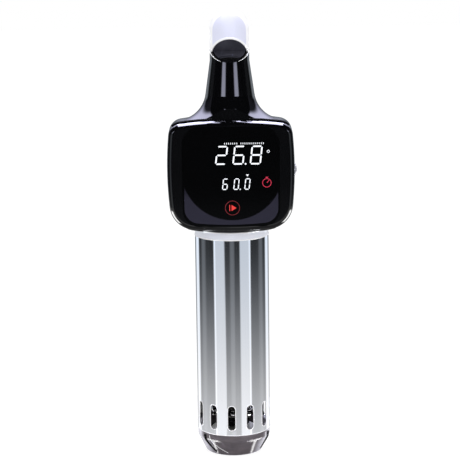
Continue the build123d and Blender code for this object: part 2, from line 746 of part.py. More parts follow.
# Thumb wheel with its axle, bracket and encoder
with BuildPart() as thumb_wheel:
    add(rod(WHEEL_RADIUS, WHEEL_X, WHEEL_Z, WHEEL_FRONT, WHEEL_BACK))
    chamfer(thumb_wheel.edges().group_by(Axis.Y)[0], TOOTH_DEPTH)
    chamfer(thumb_wheel.edges().group_by(Axis.Y)[-1], TOOTH_DEPTH)
    with BuildSketch(Plane.XZ.offset(-WHEEL_FRONT)):
        with Locations((WHEEL_X, WHEEL_Z)):
            with PolarLocations(WHEEL_RADIUS + TOOTH_DEPTH / 4, WHEEL_TEETH):
                Circle(TOOTH_DEPTH)
    extrude(amount=-WHEEL_WIDTH, mode=Mode.SUBTRACT)
    add(rod(AXLE_RADIUS, WHEEL_X, WHEEL_Z, WHEEL_FRONT, WHEEL_BACK), mode=Mode.SUBTRACT)
export(thumb_wheel.part, "thumb_wheel")

ear_front = WHEEL_FRONT - WHEEL_GAP
ear_back = WHEEL_BACK + WHEEL_GAP
bracket_x = WHEEL_X - WHEEL_RADIUS - WHEEL_GAP
bracket_end = WHEEL_X + AXLE_RADIUS + EAR_THICKNESS
bracket_low = WHEEL_Z - EAR_HEIGHT / 2
bracket_high = WHEEL_Z + EAR_HEIGHT / 2
axle_front = ear_front - 2 * EAR_THICKNESS
axle_back = ear_back + 2 * EAR_THICKNESS
with BuildPart() as wheel_axle:
    add(rod(AXLE_RADIUS, WHEEL_X, WHEEL_Z, axle_front, axle_back))
export(wheel_axle.part, "wheel_axle")

with BuildPart() as wheel_bracket:
    web = EAR_THICKNESS
    add(block((bracket_x - web, FACE_INNER, bracket_low), (bracket_end, ear_front, bracket_high)))
    add(block((bracket_x - web, ear_front, bracket_low), (bracket_x, ear_back, bracket_high)))
    add(block((bracket_x - web, ear_back, bracket_low), (bracket_end, ear_back + web, bracket_high)))
    add(
        rod(AXLE_RADIUS + RUNNING_GAP, WHEEL_X, WHEEL_Z, axle_front - RUNNING_GAP, axle_back),
        mode=Mode.SUBTRACT,
    )
export(wheel_bracket.part, "wheel_bracket")

with BuildPart() as wheel_encoder:
    encoder_front = ear_back + EAR_THICKNESS
    encoder_half = EAR_HEIGHT / 2
    add(
        block(
            (WHEEL_X - encoder_half, encoder_front, bracket_low),
            (bracket_end, encoder_front + ENCODER_LENGTH, bracket_high),
        )
    )
    add(
        rod(AXLE_RADIUS + WHEEL_GAP, WHEEL_X, WHEEL_Z, encoder_front, axle_back + WHEEL_GAP),
        mode=Mode.SUBTRACT,
    )
export(wheel_encoder.part, "wheel_encoder")

# Power board with its heat sink, and the gland that the cord comes in through
power_half = POWER_BOARD_WIDTH / 2
power_low = POWER_Z - POWER_BOARD_HEIGHT / 2
power_high = POWER_Z + POWER_BOARD_HEIGHT / 2
with BuildPart() as power_board:
    add(block((-power_half, POWER_BOARD_Y, power_low), (power_half, POWER_BOARD_BACK, power_high)))
export(power_board.part, "power_board")

sink_half = SINK_PITCH * (SINK_FINS - 1) / 2 + SINK_FIN / 2
sink_low = POWER_Z - SINK_HEIGHT / 2
sink_high = POWER_Z + SINK_HEIGHT / 2
sink_mid = POWER_BOARD_BACK + SINK_BASE
with BuildPart() as heat_sink:
    add(block((-sink_half, POWER_BOARD_BACK, sink_low), (sink_half, sink_mid, sink_high)))
    for index in range(SINK_FINS):
        fin_x = index * SINK_PITCH - sink_half
        add(block((fin_x, sink_mid, sink_low), (fin_x + SINK_FIN, sink_mid + SINK_DEPTH, sink_high)))
export(heat_sink.part, "heat_sink")

gland_start = BACK_INNER - NUT_HEIGHT
gland_nose = HEAD_BACK + GLAND_FLANGE_HEIGHT
gland_tip = gland_nose + GLAND_NOSE
with BuildPart() as cord_gland:
    add(rod(GLAND_RADIUS, 0, GLAND_Z, gland_start, HEAD_BACK))
    add(rod(GLAND_FLANGE, 0, GLAND_Z, HEAD_BACK, gland_nose))
    with BuildSketch(Plane.YZ):
        with BuildLine():
            Polyline(
                (gland_nose, GLAND_Z),
                (gland_nose, GLAND_Z + GLAND_RADIUS),
                (gland_tip, GLAND_Z + GLAND_TIP_RADIUS),
                (gland_tip, GLAND_Z),
                close=True,
            )
        make_face()
    revolve(axis=Axis((0, 0, GLAND_Z), (0, 1, 0)))
    add(rod(GLAND_BORE, 0, GLAND_Z, gland_start, gland_tip), mode=Mode.SUBTRACT)
export(cord_gland.part, "cord_gland")

with BuildPart() as gland_nut:
    with BuildSketch(Plane.XZ.offset(-BACK_INNER)):
        with Locations((0, GLAND_Z)):
            RegularPolygon(GLAND_FLANGE, 6, major_radius=False)
            Circle(GLAND_RADIUS, mode=Mode.SUBTRACT)
    extrude(amount=NUT_HEIGHT)
export(gland_nut.part, "gland_nut")

# Collar between head and skirt, with bayonet grooves in its spigot
with BuildPart() as collar:
    add(ring(TUBE_RADIUS, COLLAR_BORE, 0, FLANGE_Z))
    foot_circles = collar.edges().filter_by(GeomType.CIRCLE).group_by(Axis.Z)[0]
    chamfer(foot_circles.sort_by(SortBy.RADIUS)[-1], BAND_BEVEL)
    add(ring(FLANGE_RADIUS, COLLAR_BORE, FLANGE_Z, FLANGE_TOP))
    add(ring(SPIGOT_RADIUS, COLLAR_BORE, -COLLAR_SPIGOT, 0))
    groove_floor = TUBE_RADIUS - BAND_GROOVE
    add(ring(FLANGE_RADIUS, groove_floor, BAND_HEIGHT - BAND_GROOVE, BAND_HEIGHT), mode=Mode.SUBTRACT)
    add(pin_grooves(COLLAR_PIN_Z, 1), mode=Mode.SUBTRACT)
    add(pin_ways(-COLLAR_SPIGOT, COLLAR_PIN_Z, 1), mode=Mode.SUBTRACT)
    for at in LEG_PLACES:
        add(disc(LEG_SCREW_RADIUS, FLANGE_TOP - LEG_SCREW_BITE, FLANGE_TOP, at.X, at.Y), mode=Mode.SUBTRACT)
    for at in BULKHEAD_SCREW_PLACES:
        add(disc(BULKHEAD_SCREW_RADIUS, -COLLAR_SPIGOT, BULKHEAD_SCREW_TOP, at.X, at.Y), mode=Mode.SUBTRACT)
export(collar.part, "collar")

# Skirt tube with its slots, and the pins inside both its ends
with BuildPart() as skirt_tube:
    add(ring(TUBE_RADIUS, TUBE_BORE, TUBE_END, 0))
    for index in range(SLOT_COUNT):
        slot_angle = SLOT_TURN + index * 360 / SLOT_COUNT
        slot_middle = TUBE_END + SLOT_FOOT + SLOT_LENGTH / 2
        with BuildSketch(Plane((0, 0, slot_middle), x_dir=(0, 0, 1), z_dir=polar(1, slot_angle))):
            SlotOverall(SLOT_LENGTH, SLOT_WIDTH)
        extrude(amount=2 * TUBE_RADIUS, mode=Mode.SUBTRACT)
    tube_outside = skirt_tube.faces().sort_by(SortBy.AREA)[-1]
    chamfer([edge for wire in tube_outside.inner_wires() for edge in wire.edges()], SLOT_BEVEL)
export(skirt_tube.part, "skirt_tube")

with BuildPart() as collar_pins:
    add(studs(COLLAR_PIN_Z))
export(collar_pins.part, "collar_pins")

with BuildPart() as cap_pins:
    add(studs(CAP_PIN_Z))
export(cap_pins.part, "cap_pins")

# Bulkhead under the collar: it carries the stem, the heater and the sensors
riser_x = math.sqrt(RISER_CIRCLE**2 - COIL_RADIUS**2)
probe_at = polar(SENSOR_CIRCLE, 240)
electrode_places = [polar(SENSOR_CIRCLE, 295), polar(SENSOR_CIRCLE, 308)]
seal_circle = COLLAR_BORE - SCREW_GAP - SEAL_RADIUS
with BuildPart() as bulkhead:
    add(disc(TUBE_BORE - BULKHEAD_GAP, BULKHEAD_FOOT, BULKHEAD_TOP))
    add(disc(COLLAR_BORE - SCREW_GAP, BULKHEAD_TOP, BOSS_TOP))
    add(disc(STEM_BORE, BULKHEAD_FOOT, BOSS_TOP), mode=Mode.SUBTRACT)
    add(disc(STEM_RADIUS, BULKHEAD_FOOT, STEM_TOP), mode=Mode.SUBTRACT)
    seal_z = (BULKHEAD_TOP + BOSS_TOP) / 2
    seal_half = SEAL_RADIUS + SCREW_GAP
    seal_floor = seal_circle - seal_half
    add(ring(COLLAR_BORE, seal_floor, seal_z - seal_half, seal_z + seal_half), mode=Mode.SUBTRACT)
    add(pin_ways(BULKHEAD_FOOT, BULKHEAD_TOP, 1), mode=Mode.SUBTRACT)
    for at in BULKHEAD_SCREW_PLACES:
        add(disc(BULKHEAD_SCREW_RADIUS, BULKHEAD_FOOT, BULKHEAD_TOP, at.X, at.Y), mode=Mode.SUBTRACT)
    socket_top = BULKHEAD_FOOT + SOCKET_DEPTH
    riser_socket = RISER_RADIUS + SOCKET_GAP
    for riser_side in (-riser_x, riser_x):
        add(disc(riser_socket, BULKHEAD_FOOT, socket_top, riser_side, COIL_RADIUS), mode=Mode.SUBTRACT)
    probe_socket = PROBE_RADIUS + SOCKET_GAP
    add(disc(probe_socket, BULKHEAD_FOOT, socket_top, probe_at.X, probe_at.Y), mode=Mode.SUBTRACT)
    for at in electrode_places:
        add(disc(ELECTRODE_RADIUS + SOCKET_GAP, BULKHEAD_FOOT, socket_top, at.X, at.Y), mode=Mode.SUBTRACT)
export(bulkhead.part, "bulkhead")

with BuildPart() as bulkhead_seal:
    with Locations((0, 0, seal_z)):
        Torus(seal_circle, SEAL_RADIUS)
export(bulkhead_seal.part, "bulkhead_seal")

with BuildPart() as bulkhead_screws:
    for at in BULKHEAD_SCREW_PLACES:
        head_radius = 2 * BULKHEAD_SCREW_RADIUS
        add(disc(BULKHEAD_SCREW_RADIUS, BULKHEAD_FOOT, BULKHEAD_SCREW_TOP, at.X, at.Y))
        add(disc(head_radius, BULKHEAD_FOOT - BULKHEAD_THICKNESS / 3, BULKHEAD_FOOT, at.X, at.Y))
export(bulkhead_screws.part, "bulkhead_screws")

# Stem, bushes and seal that the pump shaft runs in
with BuildPart() as stem_tube:
    add(ring(STEM_RADIUS, STEM_BORE, STEM_FOOT, STEM_TOP))
export(stem_tube.part, "stem_tube")

lip_foot = BOSS_TOP - LIP_HEIGHT
with BuildPart() as upper_bush:
    add(ring(STEM_BORE, SHAFT_RADIUS + RUNNING_GAP, lip_foot - BUSH_HEIGHT, lip_foot))
export(upper_bush.part, "upper_bush")

with BuildPart() as shaft_seal:
    add(ring(STEM_BORE, SHAFT_RADIUS + RUNNING_GAP, lip_foot, BOSS_TOP))
export(shaft_seal.part, "shaft_seal")

with BuildPart() as lower_bush:
    add(ring(STEM_BORE, SHAFT_RADIUS + RUNNING_GAP, STEM_FOOT, STEM_FOOT + BUSH_HEIGHT))
export(lower_bush.part, "lower_bush")

with BuildPart() as pump_plate:
    add(ring(PLATE_RADIUS, SHAFT_RADIUS + WHEEL_GAP, PLATE_FOOT, PLATE_TOP))
    add(disc(STEM_RADIUS, STEM_FOOT, PLATE_TOP), mode=Mode.SUBTRACT)
export(pump_plate.part, "pump_plate")

# Shaft, coupling and impeller of the pump
with BuildPart() as pump_shaft:
    add(disc(SHAFT_RADIUS, IMPELLER_FOOT, COUPLING_MIDDLE - SCREW_GAP))
    chamfer(pump_shaft.edges().group_by(Axis.Z)[0], WHEEL_GAP)
export(pump_shaft.part, "pump_shaft")

with BuildPart() as shaft_coupling:
    add(disc(COUPLING_RADIUS, COUPLING_FOOT, COUPLING_TOP))
    add(disc(SHAFT_RADIUS, COUPLING_FOOT, COUPLING_MIDDLE), mode=Mode.SUBTRACT)
    add(disc(MOTOR_SHAFT_RADIUS, COUPLING_MIDDLE, COUPLING_TOP), mode=Mode.SUBTRACT)
    waist_floor = COUPLING_RADIUS - WALL / 2
    waist_low = COUPLING_MIDDLE - WALL / 2
    waist_high = COUPLING_MIDDLE + WALL / 2
    add(ring(COUPLING_RADIUS + WALL, waist_floor, waist_low, waist_high), mode=Mode.SUBTRACT)
export(shaft_coupling.part, "shaft_coupling")

impeller_plate = IMPELLER_TOP - BLADE_THICKNESS
with BuildPart() as impeller:
    add(disc(IMPELLER_RADIUS, impeller_plate, IMPELLER_TOP))
    add(disc(IMPELLER_HUB, IMPELLER_FOOT, IMPELLER_TOP))
    blade_length = IMPELLER_RADIUS - IMPELLER_HUB / 2
    blade_middle = (IMPELLER_RADIUS + IMPELLER_HUB / 2) / 2
    blade_height = impeller_plate - IMPELLER_FOOT
    for index in range(IMPELLER_BLADES):
        turn = Rot(0, 0, index * 360 / IMPELLER_BLADES)
        with Locations(turn * Pos(blade_middle, 0, IMPELLER_FOOT + blade_height / 2)):
            Box(blade_length, BLADE_THICKNESS, blade_height)
    add(disc(IMPELLER_RADIUS, IMPELLER_FOOT, IMPELLER_TOP), mode=Mode.INTERSECT)
    add(disc(SHAFT_RADIUS, IMPELLER_FOOT, IMPELLER_TOP), mode=Mode.SUBTRACT)
export(impeller.part, "impeller")

# Motor on its bracket, with rotor, shaft and cooling fan
with BuildPart() as motor_bracket:
    add(disc(BRACKET_RADIUS, BRACKET_FOOT, BRACKET_TOP))
    for at in LEG_PLACES:
        add(disc(BRACKET_LEG_RADIUS, FLANGE_TOP, BRACKET_FOOT, at.X, at.Y))
        add(disc(BRACKET_LEG_RADIUS + 2 * TUBE_WALL, BRACKET_FOOT, BRACKET_TOP, at.X, at.Y))
    for at in LEG_PLACES:
        add(disc(LEG_SCREW_RADIUS, FLANGE_TOP, BRACKET_TOP, at.X, at.Y), mode=Mode.SUBTRACT)
    add(disc(3 * MOTOR_SHAFT_RADIUS, BRACKET_FOOT, BRACKET_TOP), mode=Mode.SUBTRACT)
export(motor_bracket.part, "motor_bracket")

with BuildPart() as bracket_screws:
    for at in LEG_PLACES:
        add(disc(LEG_SCREW_RADIUS, FLANGE_TOP - LEG_SCREW_BITE, BRACKET_TOP, at.X, at.Y))
        add(disc(LEG_SCREW_HEAD, BRACKET_TOP, BRACKET_TOP + LEG_SCREW_HEAD, at.X, at.Y))
export(bracket_screws.part, "bracket_screws")

can_floor = BRACKET_TOP + 2 * MOTOR_WALL
can_roof = MOTOR_TOP - MOTOR_WALL
can_bore = MOTOR_RADIUS - MOTOR_WALL
rotor_radius = can_bore - STATOR_THICKNESS - AIR_GAP
stack_foot = can_floor + MOTOR_WALL
stack_top = can_roof - MOTOR_WALL
with BuildPart() as motor_can:
    add(disc(MOTOR_RADIUS, BRACKET_TOP, MOTOR_TOP))
    add(disc(can_bore, can_floor, can_roof), mode=Mode.SUBTRACT)
    add(disc(MOTOR_SHAFT_RADIUS + RUNNING_GAP, BRACKET_TOP, MOTOR_TOP), mode=Mode.SUBTRACT)
export(motor_can.part, "motor_can")

with BuildPart() as motor_stator:
    add(ring(can_bore, can_bore - STATOR_THICKNESS, stack_foot, stack_top))
export(motor_stator.part, "motor_stator")

with BuildPart() as motor_rotor:
    add(ring(rotor_radius, MOTOR_SHAFT_RADIUS, stack_foot, stack_top))
export(motor_rotor.part, "motor_rotor")

with BuildPart() as motor_shaft:
    add(disc(MOTOR_SHAFT_RADIUS, COUPLING_MIDDLE + SCREW_GAP, FAN_FOOT + FAN_HEIGHT))
export(motor_shaft.part, "motor_shaft")

with BuildPart() as cooling_fan:
    vane_length = FAN_RADIUS - FAN_HUB / 2
    vane_middle = (FAN_RADIUS + FAN_HUB / 2) / 2
    for index in range(FAN_BLADES):
        turn = Rot(0, 0, index * 360 / FAN_BLADES)
        with Locations(Pos(0, 0, FAN_FOOT + FAN_HEIGHT / 2) * turn * Pos(vane_middle, 0, 0) * Rot(45, 0, 0)):
            Box(vane_length, BLADE_THICKNESS, FAN_HEIGHT)
    add(disc(FAN_HUB, FAN_FOOT, FAN_FOOT + FAN_HEIGHT))
    add(disc(MOTOR_SHAFT_RADIUS, FAN_FOOT, FAN_FOOT + FAN_HEIGHT), mode=Mode.SUBTRACT)
export(cooling_fan.part, "cooling_fan")

# Heater: one wound tube, with a riser at each end


def coil_point(turn):
    """The point on the heater's winding after that many turns down from its top."""
    return polar(COIL_RADIUS, COIL_START + 360 * turn, COIL_TOP - COIL_PITCH * turn)


def coil_way(turn):
    """The direction of the winding there."""
    level = polar(2 * math.pi * COIL_RADIUS, COIL_START + 360 * turn + 90)
    return Vector(level.X, level.Y, -COIL_PITCH).normalized()


def biarc_joint(start, end, start_way, end_way):
    """Where two arcs meet that leave start and reach end along those ways, and the way they go there."""
    span = end - start
    both = start_way + end_way
    bend = 2 * (1 - start_way.dot(end_way))
    along = span.dot(both)
    reach = (math.sqrt(along**2 + bend * span.dot(span)) - along) / bend
    first = start + start_way * reach
    second = end - end_way * reach
    return (first + second) / 2, (second - first).normalized()


stub = riser_x * math.sqrt(1 + (COIL_PITCH / (2 * math.pi * COIL_RADIUS)) ** 2)
coil_start = coil_point(0) - coil_way(0) * stub
coil_end = coil_point(COIL_TURNS) + coil_way(COIL_TURNS) * stub
with BuildPart() as heater_coil:
    with BuildLine() as winding:
        Line(coil_start, coil_point(0))
        for quarter in range(4 * COIL_TURNS):
            here = coil_point(quarter / 4)
            there = coil_point((quarter + 1) / 4)
            way_here = coil_way(quarter / 4)
            way_there = coil_way((quarter + 1) / 4)
            joint, way_joint = biarc_joint(here, there, way_here, way_there)
            TangentArc(here, joint, tangent=way_here)
            TangentArc(joint, there, tangent=way_joint)
        Line(coil_point(COIL_TURNS), coil_end)
    with BuildSketch(Plane(coil_start, z_dir=coil_way(0))):
        Circle(COIL_WIRE)
    sweep(path=winding.wires()[0])
export(heater_coil.part, "heater_coil")

# The least gap between neighbouring turns, measured on points along the winding
steps_per_turn = 40
winding_points = [coil_point(step / steps_per_turn) for step in range(steps_per_turn * COIL_TURNS + 1)]
least_gap = min(
    (winding_points[first] - winding_points[second]).length - 2 * COIL_WIRE
    for first in range(len(winding_points))
    for second in range(first + steps_per_turn // 2, len(winding_points))
)
print(f"heater coil: least gap between turns {least_gap:.2f} mm")

riser_top = BULKHEAD_FOOT + SOCKET_DEPTH - SOCKET_GAP
riser_spare = COIL_WIRE + GROOVE_GAP
with BuildPart() as heater_risers:
    for end_point in (coil_start, coil_end):
        add(disc(RISER_RADIUS, end_point.Z - riser_spare, riser_top, end_point.X, end_point.Y))
    for outer_end, toward in ((coil_start, coil_way(0)), (coil_end, coil_way(COIL_TURNS) * -1)):
        with BuildSketch(Plane(outer_end, z_dir=toward)):
            Circle(COIL_WIRE + SOCKET_GAP)
        extrude(amount=2 * RISER_RADIUS, mode=Mode.SUBTRACT)
export(heater_risers.part, "heater_risers")

# Temperature probe and the two water level electrodes
with BuildPart() as temperature_probe:
    add(disc(PROBE_RADIUS, riser_top - PROBE_LENGTH, riser_top, probe_at.X, probe_at.Y))
    fillet(temperature_probe.edges().group_by(Axis.Z)[0], PROBE_RADIUS / 2)
export(temperature_probe.part, "temperature_probe")

with BuildPart() as level_electrodes:
    for at in electrode_places:
        add(disc(ELECTRODE_RADIUS, riser_top - ELECTRODE_LENGTH, riser_top, at.X, at.Y))
export(level_electrodes.part, "level_electrodes")

# Bottom cap: rim, tapering bowl with a port, and a spigot with bayonet grooves
cap_rim_radius = TUBE_RADIUS - CAP_RIM_STEP
with BuildPart() as cap_bowl:
    with BuildSketch(Plane.XZ) as bowl_profile:
        with BuildLine():
            Polyline(
                (0, CAP_TOP),
                (cap_rim_radius, CAP_TOP),
                (cap_rim_radius, CAP_TOP - CAP_RIM),
                (CAP_FOOT_RADIUS, CAP_FOOT),
                (0, CAP_FOOT),
                close=True,
            )
        make_face()
        foot_corner = bowl_profile.vertices().sort_by_distance((CAP_FOOT_RADIUS, CAP_FOOT))[0]
        fillet(foot_corner, CAP_ROUND)
        rim_corner = bowl_profile.vertices().sort_by_distance((cap_rim_radius, CAP_TOP - CAP_RIM))[0]
        fillet(rim_corner, 2 * CAP_ROUND)
    revolve(axis=Axis.Z)
    with BuildSketch(Plane.XZ):
        with BuildLine():
            Polyline(
                (0, CAP_TOP),
                (SPIGOT_RADIUS - CAP_SPIGOT_WALL, CAP_TOP),
                (SPIGOT_RADIUS - CAP_SPIGOT_WALL, CAP_TOP - CAP_RIM),
                (CAP_FOOT_RADIUS - CAP_WALL, CAP_FOOT + CAP_WALL),
                (0, CAP_FOOT + CAP_WALL),
                close=True,
            )
        make_face()
    revolve(axis=Axis.Z, mode=Mode.SUBTRACT)
    add(disc(CAP_PORT, CAP_FOOT, CAP_FOOT + CAP_WALL), mode=Mode.SUBTRACT)

with BuildPart() as bottom_cap:
    add(cap_bowl.part)
    add(ring(SPIGOT_RADIUS, SPIGOT_RADIUS - CAP_SPIGOT_WALL, CAP_TOP, TUBE_END + CAP_SPIGOT))
    add(pin_grooves(CAP_PIN_Z, -1), mode=Mode.SUBTRACT)
    add(pin_ways(CAP_PIN_Z, TUBE_END + CAP_SPIGOT, -1), mode=Mode.SUBTRACT)
export(bottom_cap.part, "bottom_cap")
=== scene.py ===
"""The sous vide circulator's looks: materials, display marks, trims, studio and camera around the CAD frame.

Every length is in metres and every place is in the CAD's own frame: Z up, the skirt on the Z axis, and the
display towards -Y.
"""

import json
import math

import bpy
from mathutils import Euler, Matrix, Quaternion, Vector


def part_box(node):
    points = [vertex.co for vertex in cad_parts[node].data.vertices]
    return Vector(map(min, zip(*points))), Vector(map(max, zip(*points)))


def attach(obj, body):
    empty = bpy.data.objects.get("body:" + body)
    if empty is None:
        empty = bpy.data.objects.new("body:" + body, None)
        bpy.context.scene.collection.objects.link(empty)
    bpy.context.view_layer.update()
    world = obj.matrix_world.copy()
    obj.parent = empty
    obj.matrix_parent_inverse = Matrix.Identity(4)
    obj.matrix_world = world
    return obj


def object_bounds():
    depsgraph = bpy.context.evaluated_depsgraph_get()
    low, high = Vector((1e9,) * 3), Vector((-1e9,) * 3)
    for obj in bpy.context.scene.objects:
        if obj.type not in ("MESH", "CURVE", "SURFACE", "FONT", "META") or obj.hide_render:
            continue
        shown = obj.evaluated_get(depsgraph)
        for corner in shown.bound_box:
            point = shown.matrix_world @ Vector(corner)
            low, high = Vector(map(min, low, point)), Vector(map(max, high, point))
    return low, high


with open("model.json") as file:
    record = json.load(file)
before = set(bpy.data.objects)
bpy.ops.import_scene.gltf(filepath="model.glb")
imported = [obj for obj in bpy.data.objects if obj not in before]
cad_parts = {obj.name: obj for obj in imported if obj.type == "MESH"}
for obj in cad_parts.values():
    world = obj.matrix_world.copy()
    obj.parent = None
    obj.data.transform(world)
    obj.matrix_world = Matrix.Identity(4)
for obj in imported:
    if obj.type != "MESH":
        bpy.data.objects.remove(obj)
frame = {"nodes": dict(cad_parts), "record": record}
cad_low, cad_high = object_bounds()
nodes = frame["nodes"]

MM = 0.001

# Camera
CAMERA_PLACE = (-0.0013, -1.3962, 0.2793)
CAMERA_PITCH = math.radians(11.188)
CAMERA_ROLL = math.radians(-0.73)
CAMERA_LENS = 141.45
CAMERA_SENSOR = 36.0
CAMERA_NEAR = 0.01

# Display marks
MARK_LIFT = 0.05 * MM
DIGIT_SLANT = 0.12
SEGMENT_GAP = 0.3
BIG_HEIGHT = 14.6 * MM
BIG_WIDTH = 8.6 * MM
BIG_STROKE = 1.15 * MM
BIG_FOOT = 60.9 * MM
BIG_FIGURES = (("2", -12.2 * MM), ("6", 1.0 * MM), ("8", 14.2 * MM))
BIG_DOT_X = 11.2 * MM
BIG_DOT_SIZE = 0.6
SMALL_HEIGHT = 8.8 * MM
SMALL_WIDTH = 4.1 * MM
SMALL_STROKE = 0.75 * MM
SMALL_FOOT = 41.5 * MM
SMALL_FIGURES = (("6", -7.1 * MM), ("0", 1.5 * MM), ("0", 9.9 * MM))
SMALL_DOT_X = 6.9 * MM
SMALL_DOT_SIZE = 0.65
UNIT_PLACE = (28.6 * MM, 70.9 * MM)
UNIT_RADIUS = 1.1 * MM
UNIT_STROKE = 0.4 * UNIT_RADIUS
TICK_START = -4.6 * MM
TICK_FOOT = 76.5 * MM
TICK_HEIGHT = 1.3 * MM
TICK_WIDTH = 0.5 * MM
TICK_PITCH = 1.55 * MM
TICK_COUNT = 20
TICK_SKIP = 7
LABEL_PLACE = (12.5 * MM, 52.75 * MM)
LABEL_SIZE = 1.1 * MM
TIMER_PLACE = (27.3 * MM, 46.6 * MM)
TIMER_RADIUS = 3.5 * MM
TIMER_STROKE = 0.13 * TIMER_RADIUS
HAND_REACH = (0.5 * TIMER_RADIUS, 0.6 * TIMER_RADIUS)
HAND_STROKE = 0.15 * TIMER_RADIUS
CROWN_RISE = 1.22 * TIMER_RADIUS
CROWN_HALF = 0.26 * TIMER_RADIUS
CROWN_STROKE = 0.2 * TIMER_RADIUS
START_PLACE = (0.8 * MM, 27.4 * MM)
START_RADIUS = 5.7 * MM
START_STROKE = 0.09 * START_RADIUS
ARROW_BACK = 0.12 * START_RADIUS
ARROW_TIP = 0.55 * START_RADIUS
ARROW_HALF = 0.42 * START_RADIUS
ARROW_BAR = 0.36 * START_RADIUS
ARROW_BAR_STROKE = 0.1 * START_RADIUS

# Shade on the lower part of the lens
SHADE_X = 1.0 * MM
SHADE_Z = 56.8 * MM
SHADE_RADIUS = 39.0 * MM
SHADE_SOFT = 0.5 * MM
SHADE_FULL_Z = 34.0 * MM
SHADE_END_Z = 47.0 * MM

# Black border printed around the lens, whose ends bow inward by the square of the way to the side
BORDER_WIDTH = 1.1 * MM
BORDER_SOFT = 0.15 * MM
BORDER_CORNER = 11.0 * MM
BORDER_BOW = 2.0

# Handle and neck, as the CAD has them
NECK_Y = -10.0 * MM
BELL_TOP_Z = 112.2 * MM
NECK_FOOT_RADIUS = 18.9 * MM
HANDLE_RADIUS = 15.2 * MM
COVER_WALL = 1.6 * MM
BEND_RADIUS = 22.0 * MM
BEND_Z = 138.2 * MM
NOTCH_Y = -12.5 * MM
NOTCH_Z = 145.2 * MM
NOTCH_RISE = math.radians(55.0)
NOTCH_FALL = math.radians(31.0)

# Seam behind the head's front edge
SEAM_Y = -31.3 * MM
SEAM_START = 14.0 * MM
SEAM_END = 44.5 * MM
SEAM_RADIUS = 1.2 * MM
SEAM_LIFT = 0.45 * MM
SEAM_STEPS = 30
HEAD_TOP = 94.9 * MM
HEAD_CROWN = 3.5 * MM
HEAD_TOP_HALF = 46.7 * MM
OUTSIDE = 120.0 * MM

# Lilac face of the handle's cover, with a painted white reflection around it, and a painted dark reflection
# in the finger dimple
CREST_Z = 160.2 * MM
LILAC_FACE_HALF = 13.0 * MM
LILAC_FACE_SOFT = 0.2 * MM
LILAC_FACE_BACK_Y = 7.0 * MM
DIMPLE_Y = -20.3 * MM
DIMPLE_HALF_WIDTH = 8.5 * MM
DIMPLE_HALF_LENGTH = 3.0 * MM
NOTCH_LINE = 0.5 * MM

# Trims around the finger notch: white beads as painted highlights on its edges
ARCH_BEAD = 0.72 * MM
ARCH_SWELL = 0.35
ARCH_REACH = math.radians(79.0)
RIM_BEAD = 0.4 * MM
RIM_BEAD_END = 0.3
RIM_START = math.radians(27.0)
RIM_END = math.radians(80.0)
TRIM_STEPS = 24

# Skirt, as the CAD has it, and where the painted shade of its inside gives way in the wall
TUBE_RADIUS = 29.0 * MM
TUBE_WALL = 0.8 * MM
INNER_SHADE_START = 0.1 * TUBE_WALL
INNER_SHADE_END = 0.3 * TUBE_WALL
TUBE_END = -157.0 * MM
SLOT_COUNT = 12
SLOT_WIDTH = 6.4 * MM
SLOT_LENGTH = 20.3 * MM
SLOT_FOOT = 4.2 * MM
SLOT_TURN = math.radians(-3.7)

# Rolled edges of the skirt and beads of the collar, white as painted highlights on their edges
ROLL_RADIUS = 0.32 * MM
ROLL_SINK = 0.12 * MM
ROLL_STEPS = 10
RING_STEPS = 96
BAND_BEAD = 0.45 * MM
BAND_BEAD_HEIGHTS = (0.45 * MM, 6.0 * MM)

# Lip under the head's front: a black bead along its foot, thickest in the middle
FOOT_REACH = 34.0 * MM
FOOT_BEAD = 1.6 * MM
FOOT_BEAD_END = 0.3
FOOT_LIFT = 0.2 * MM
FOOT_INSET = 4.0 * MM
FOOT_STEPS = 48

# Moulded ribs on the cap, and white lines beside them as painted highlights: degrees from the front at the
# rim, and the swing on the way to the foot
CAP_RIBS = ((-53.0, 17.0), (68.0, -8.0), (127.0, 17.0), (-112.0, -8.0))
CAP_HIGHLIGHT_LINES = ((-43.0, 31.0), (60.0, -5.0), (137.0, 31.0), (-120.0, -5.0))
RIB_STEPS = 16
RIB_TOP_Z = -158.6 * MM
RIB_FOOT_Z = -172.6 * MM
RIB_RADIUS = 1.3 * MM
RIB_TAPER = 0.5
HIGHLIGHT_LINE_RADIUS = 0.35 * MM


# Materials


def new_material(name):
    """A fresh node material, its node tree and its Principled shader."""
    material = bpy.data.materials.new(name)
    material.use_nodes = True
    return material, material.node_tree, material.node_tree.nodes["Principled BSDF"]


def link(tree, source, target):
    """One link, or a plain number set on the socket."""
    if isinstance(source, (int, float)):
        target.default_value = source
    else:
        tree.links.new(source, target)


def maths(tree, operation, first, second=0.0):
    """One maths node on sockets or numbers."""
    node = tree.nodes.new("ShaderNodeMath")
    node.operation = operation
    link(tree, first, node.inputs[0])
    link(tree, second, node.inputs[1])
    return node.outputs["Value"]


def spread(tree, value, start, end, low=0.0, high=1.0, smooth=False):
    """The value mapped from start..end to low..high."""
    node = tree.nodes.new("ShaderNodeMapRange")
    if smooth:
        node.interpolation_type = "SMOOTHSTEP"
    node.inputs["From Min"].default_value = start
    node.inputs["From Max"].default_value = end
    node.inputs["To Min"].default_value = low
    node.inputs["To Max"].default_value = high
    link(tree, value, node.inputs["Value"])
    return node.outputs["Result"]


def place_axes(tree):
    """The object's own X, Y and Z at the shaded point."""
    place = tree.nodes.new("ShaderNodeTexCoord")
    axes = tree.nodes.new("ShaderNodeSeparateXYZ")
    tree.links.new(place.outputs["Object"], axes.inputs["Vector"])
    return axes.outputs["X"], axes.outputs["Y"], axes.outputs["Z"]


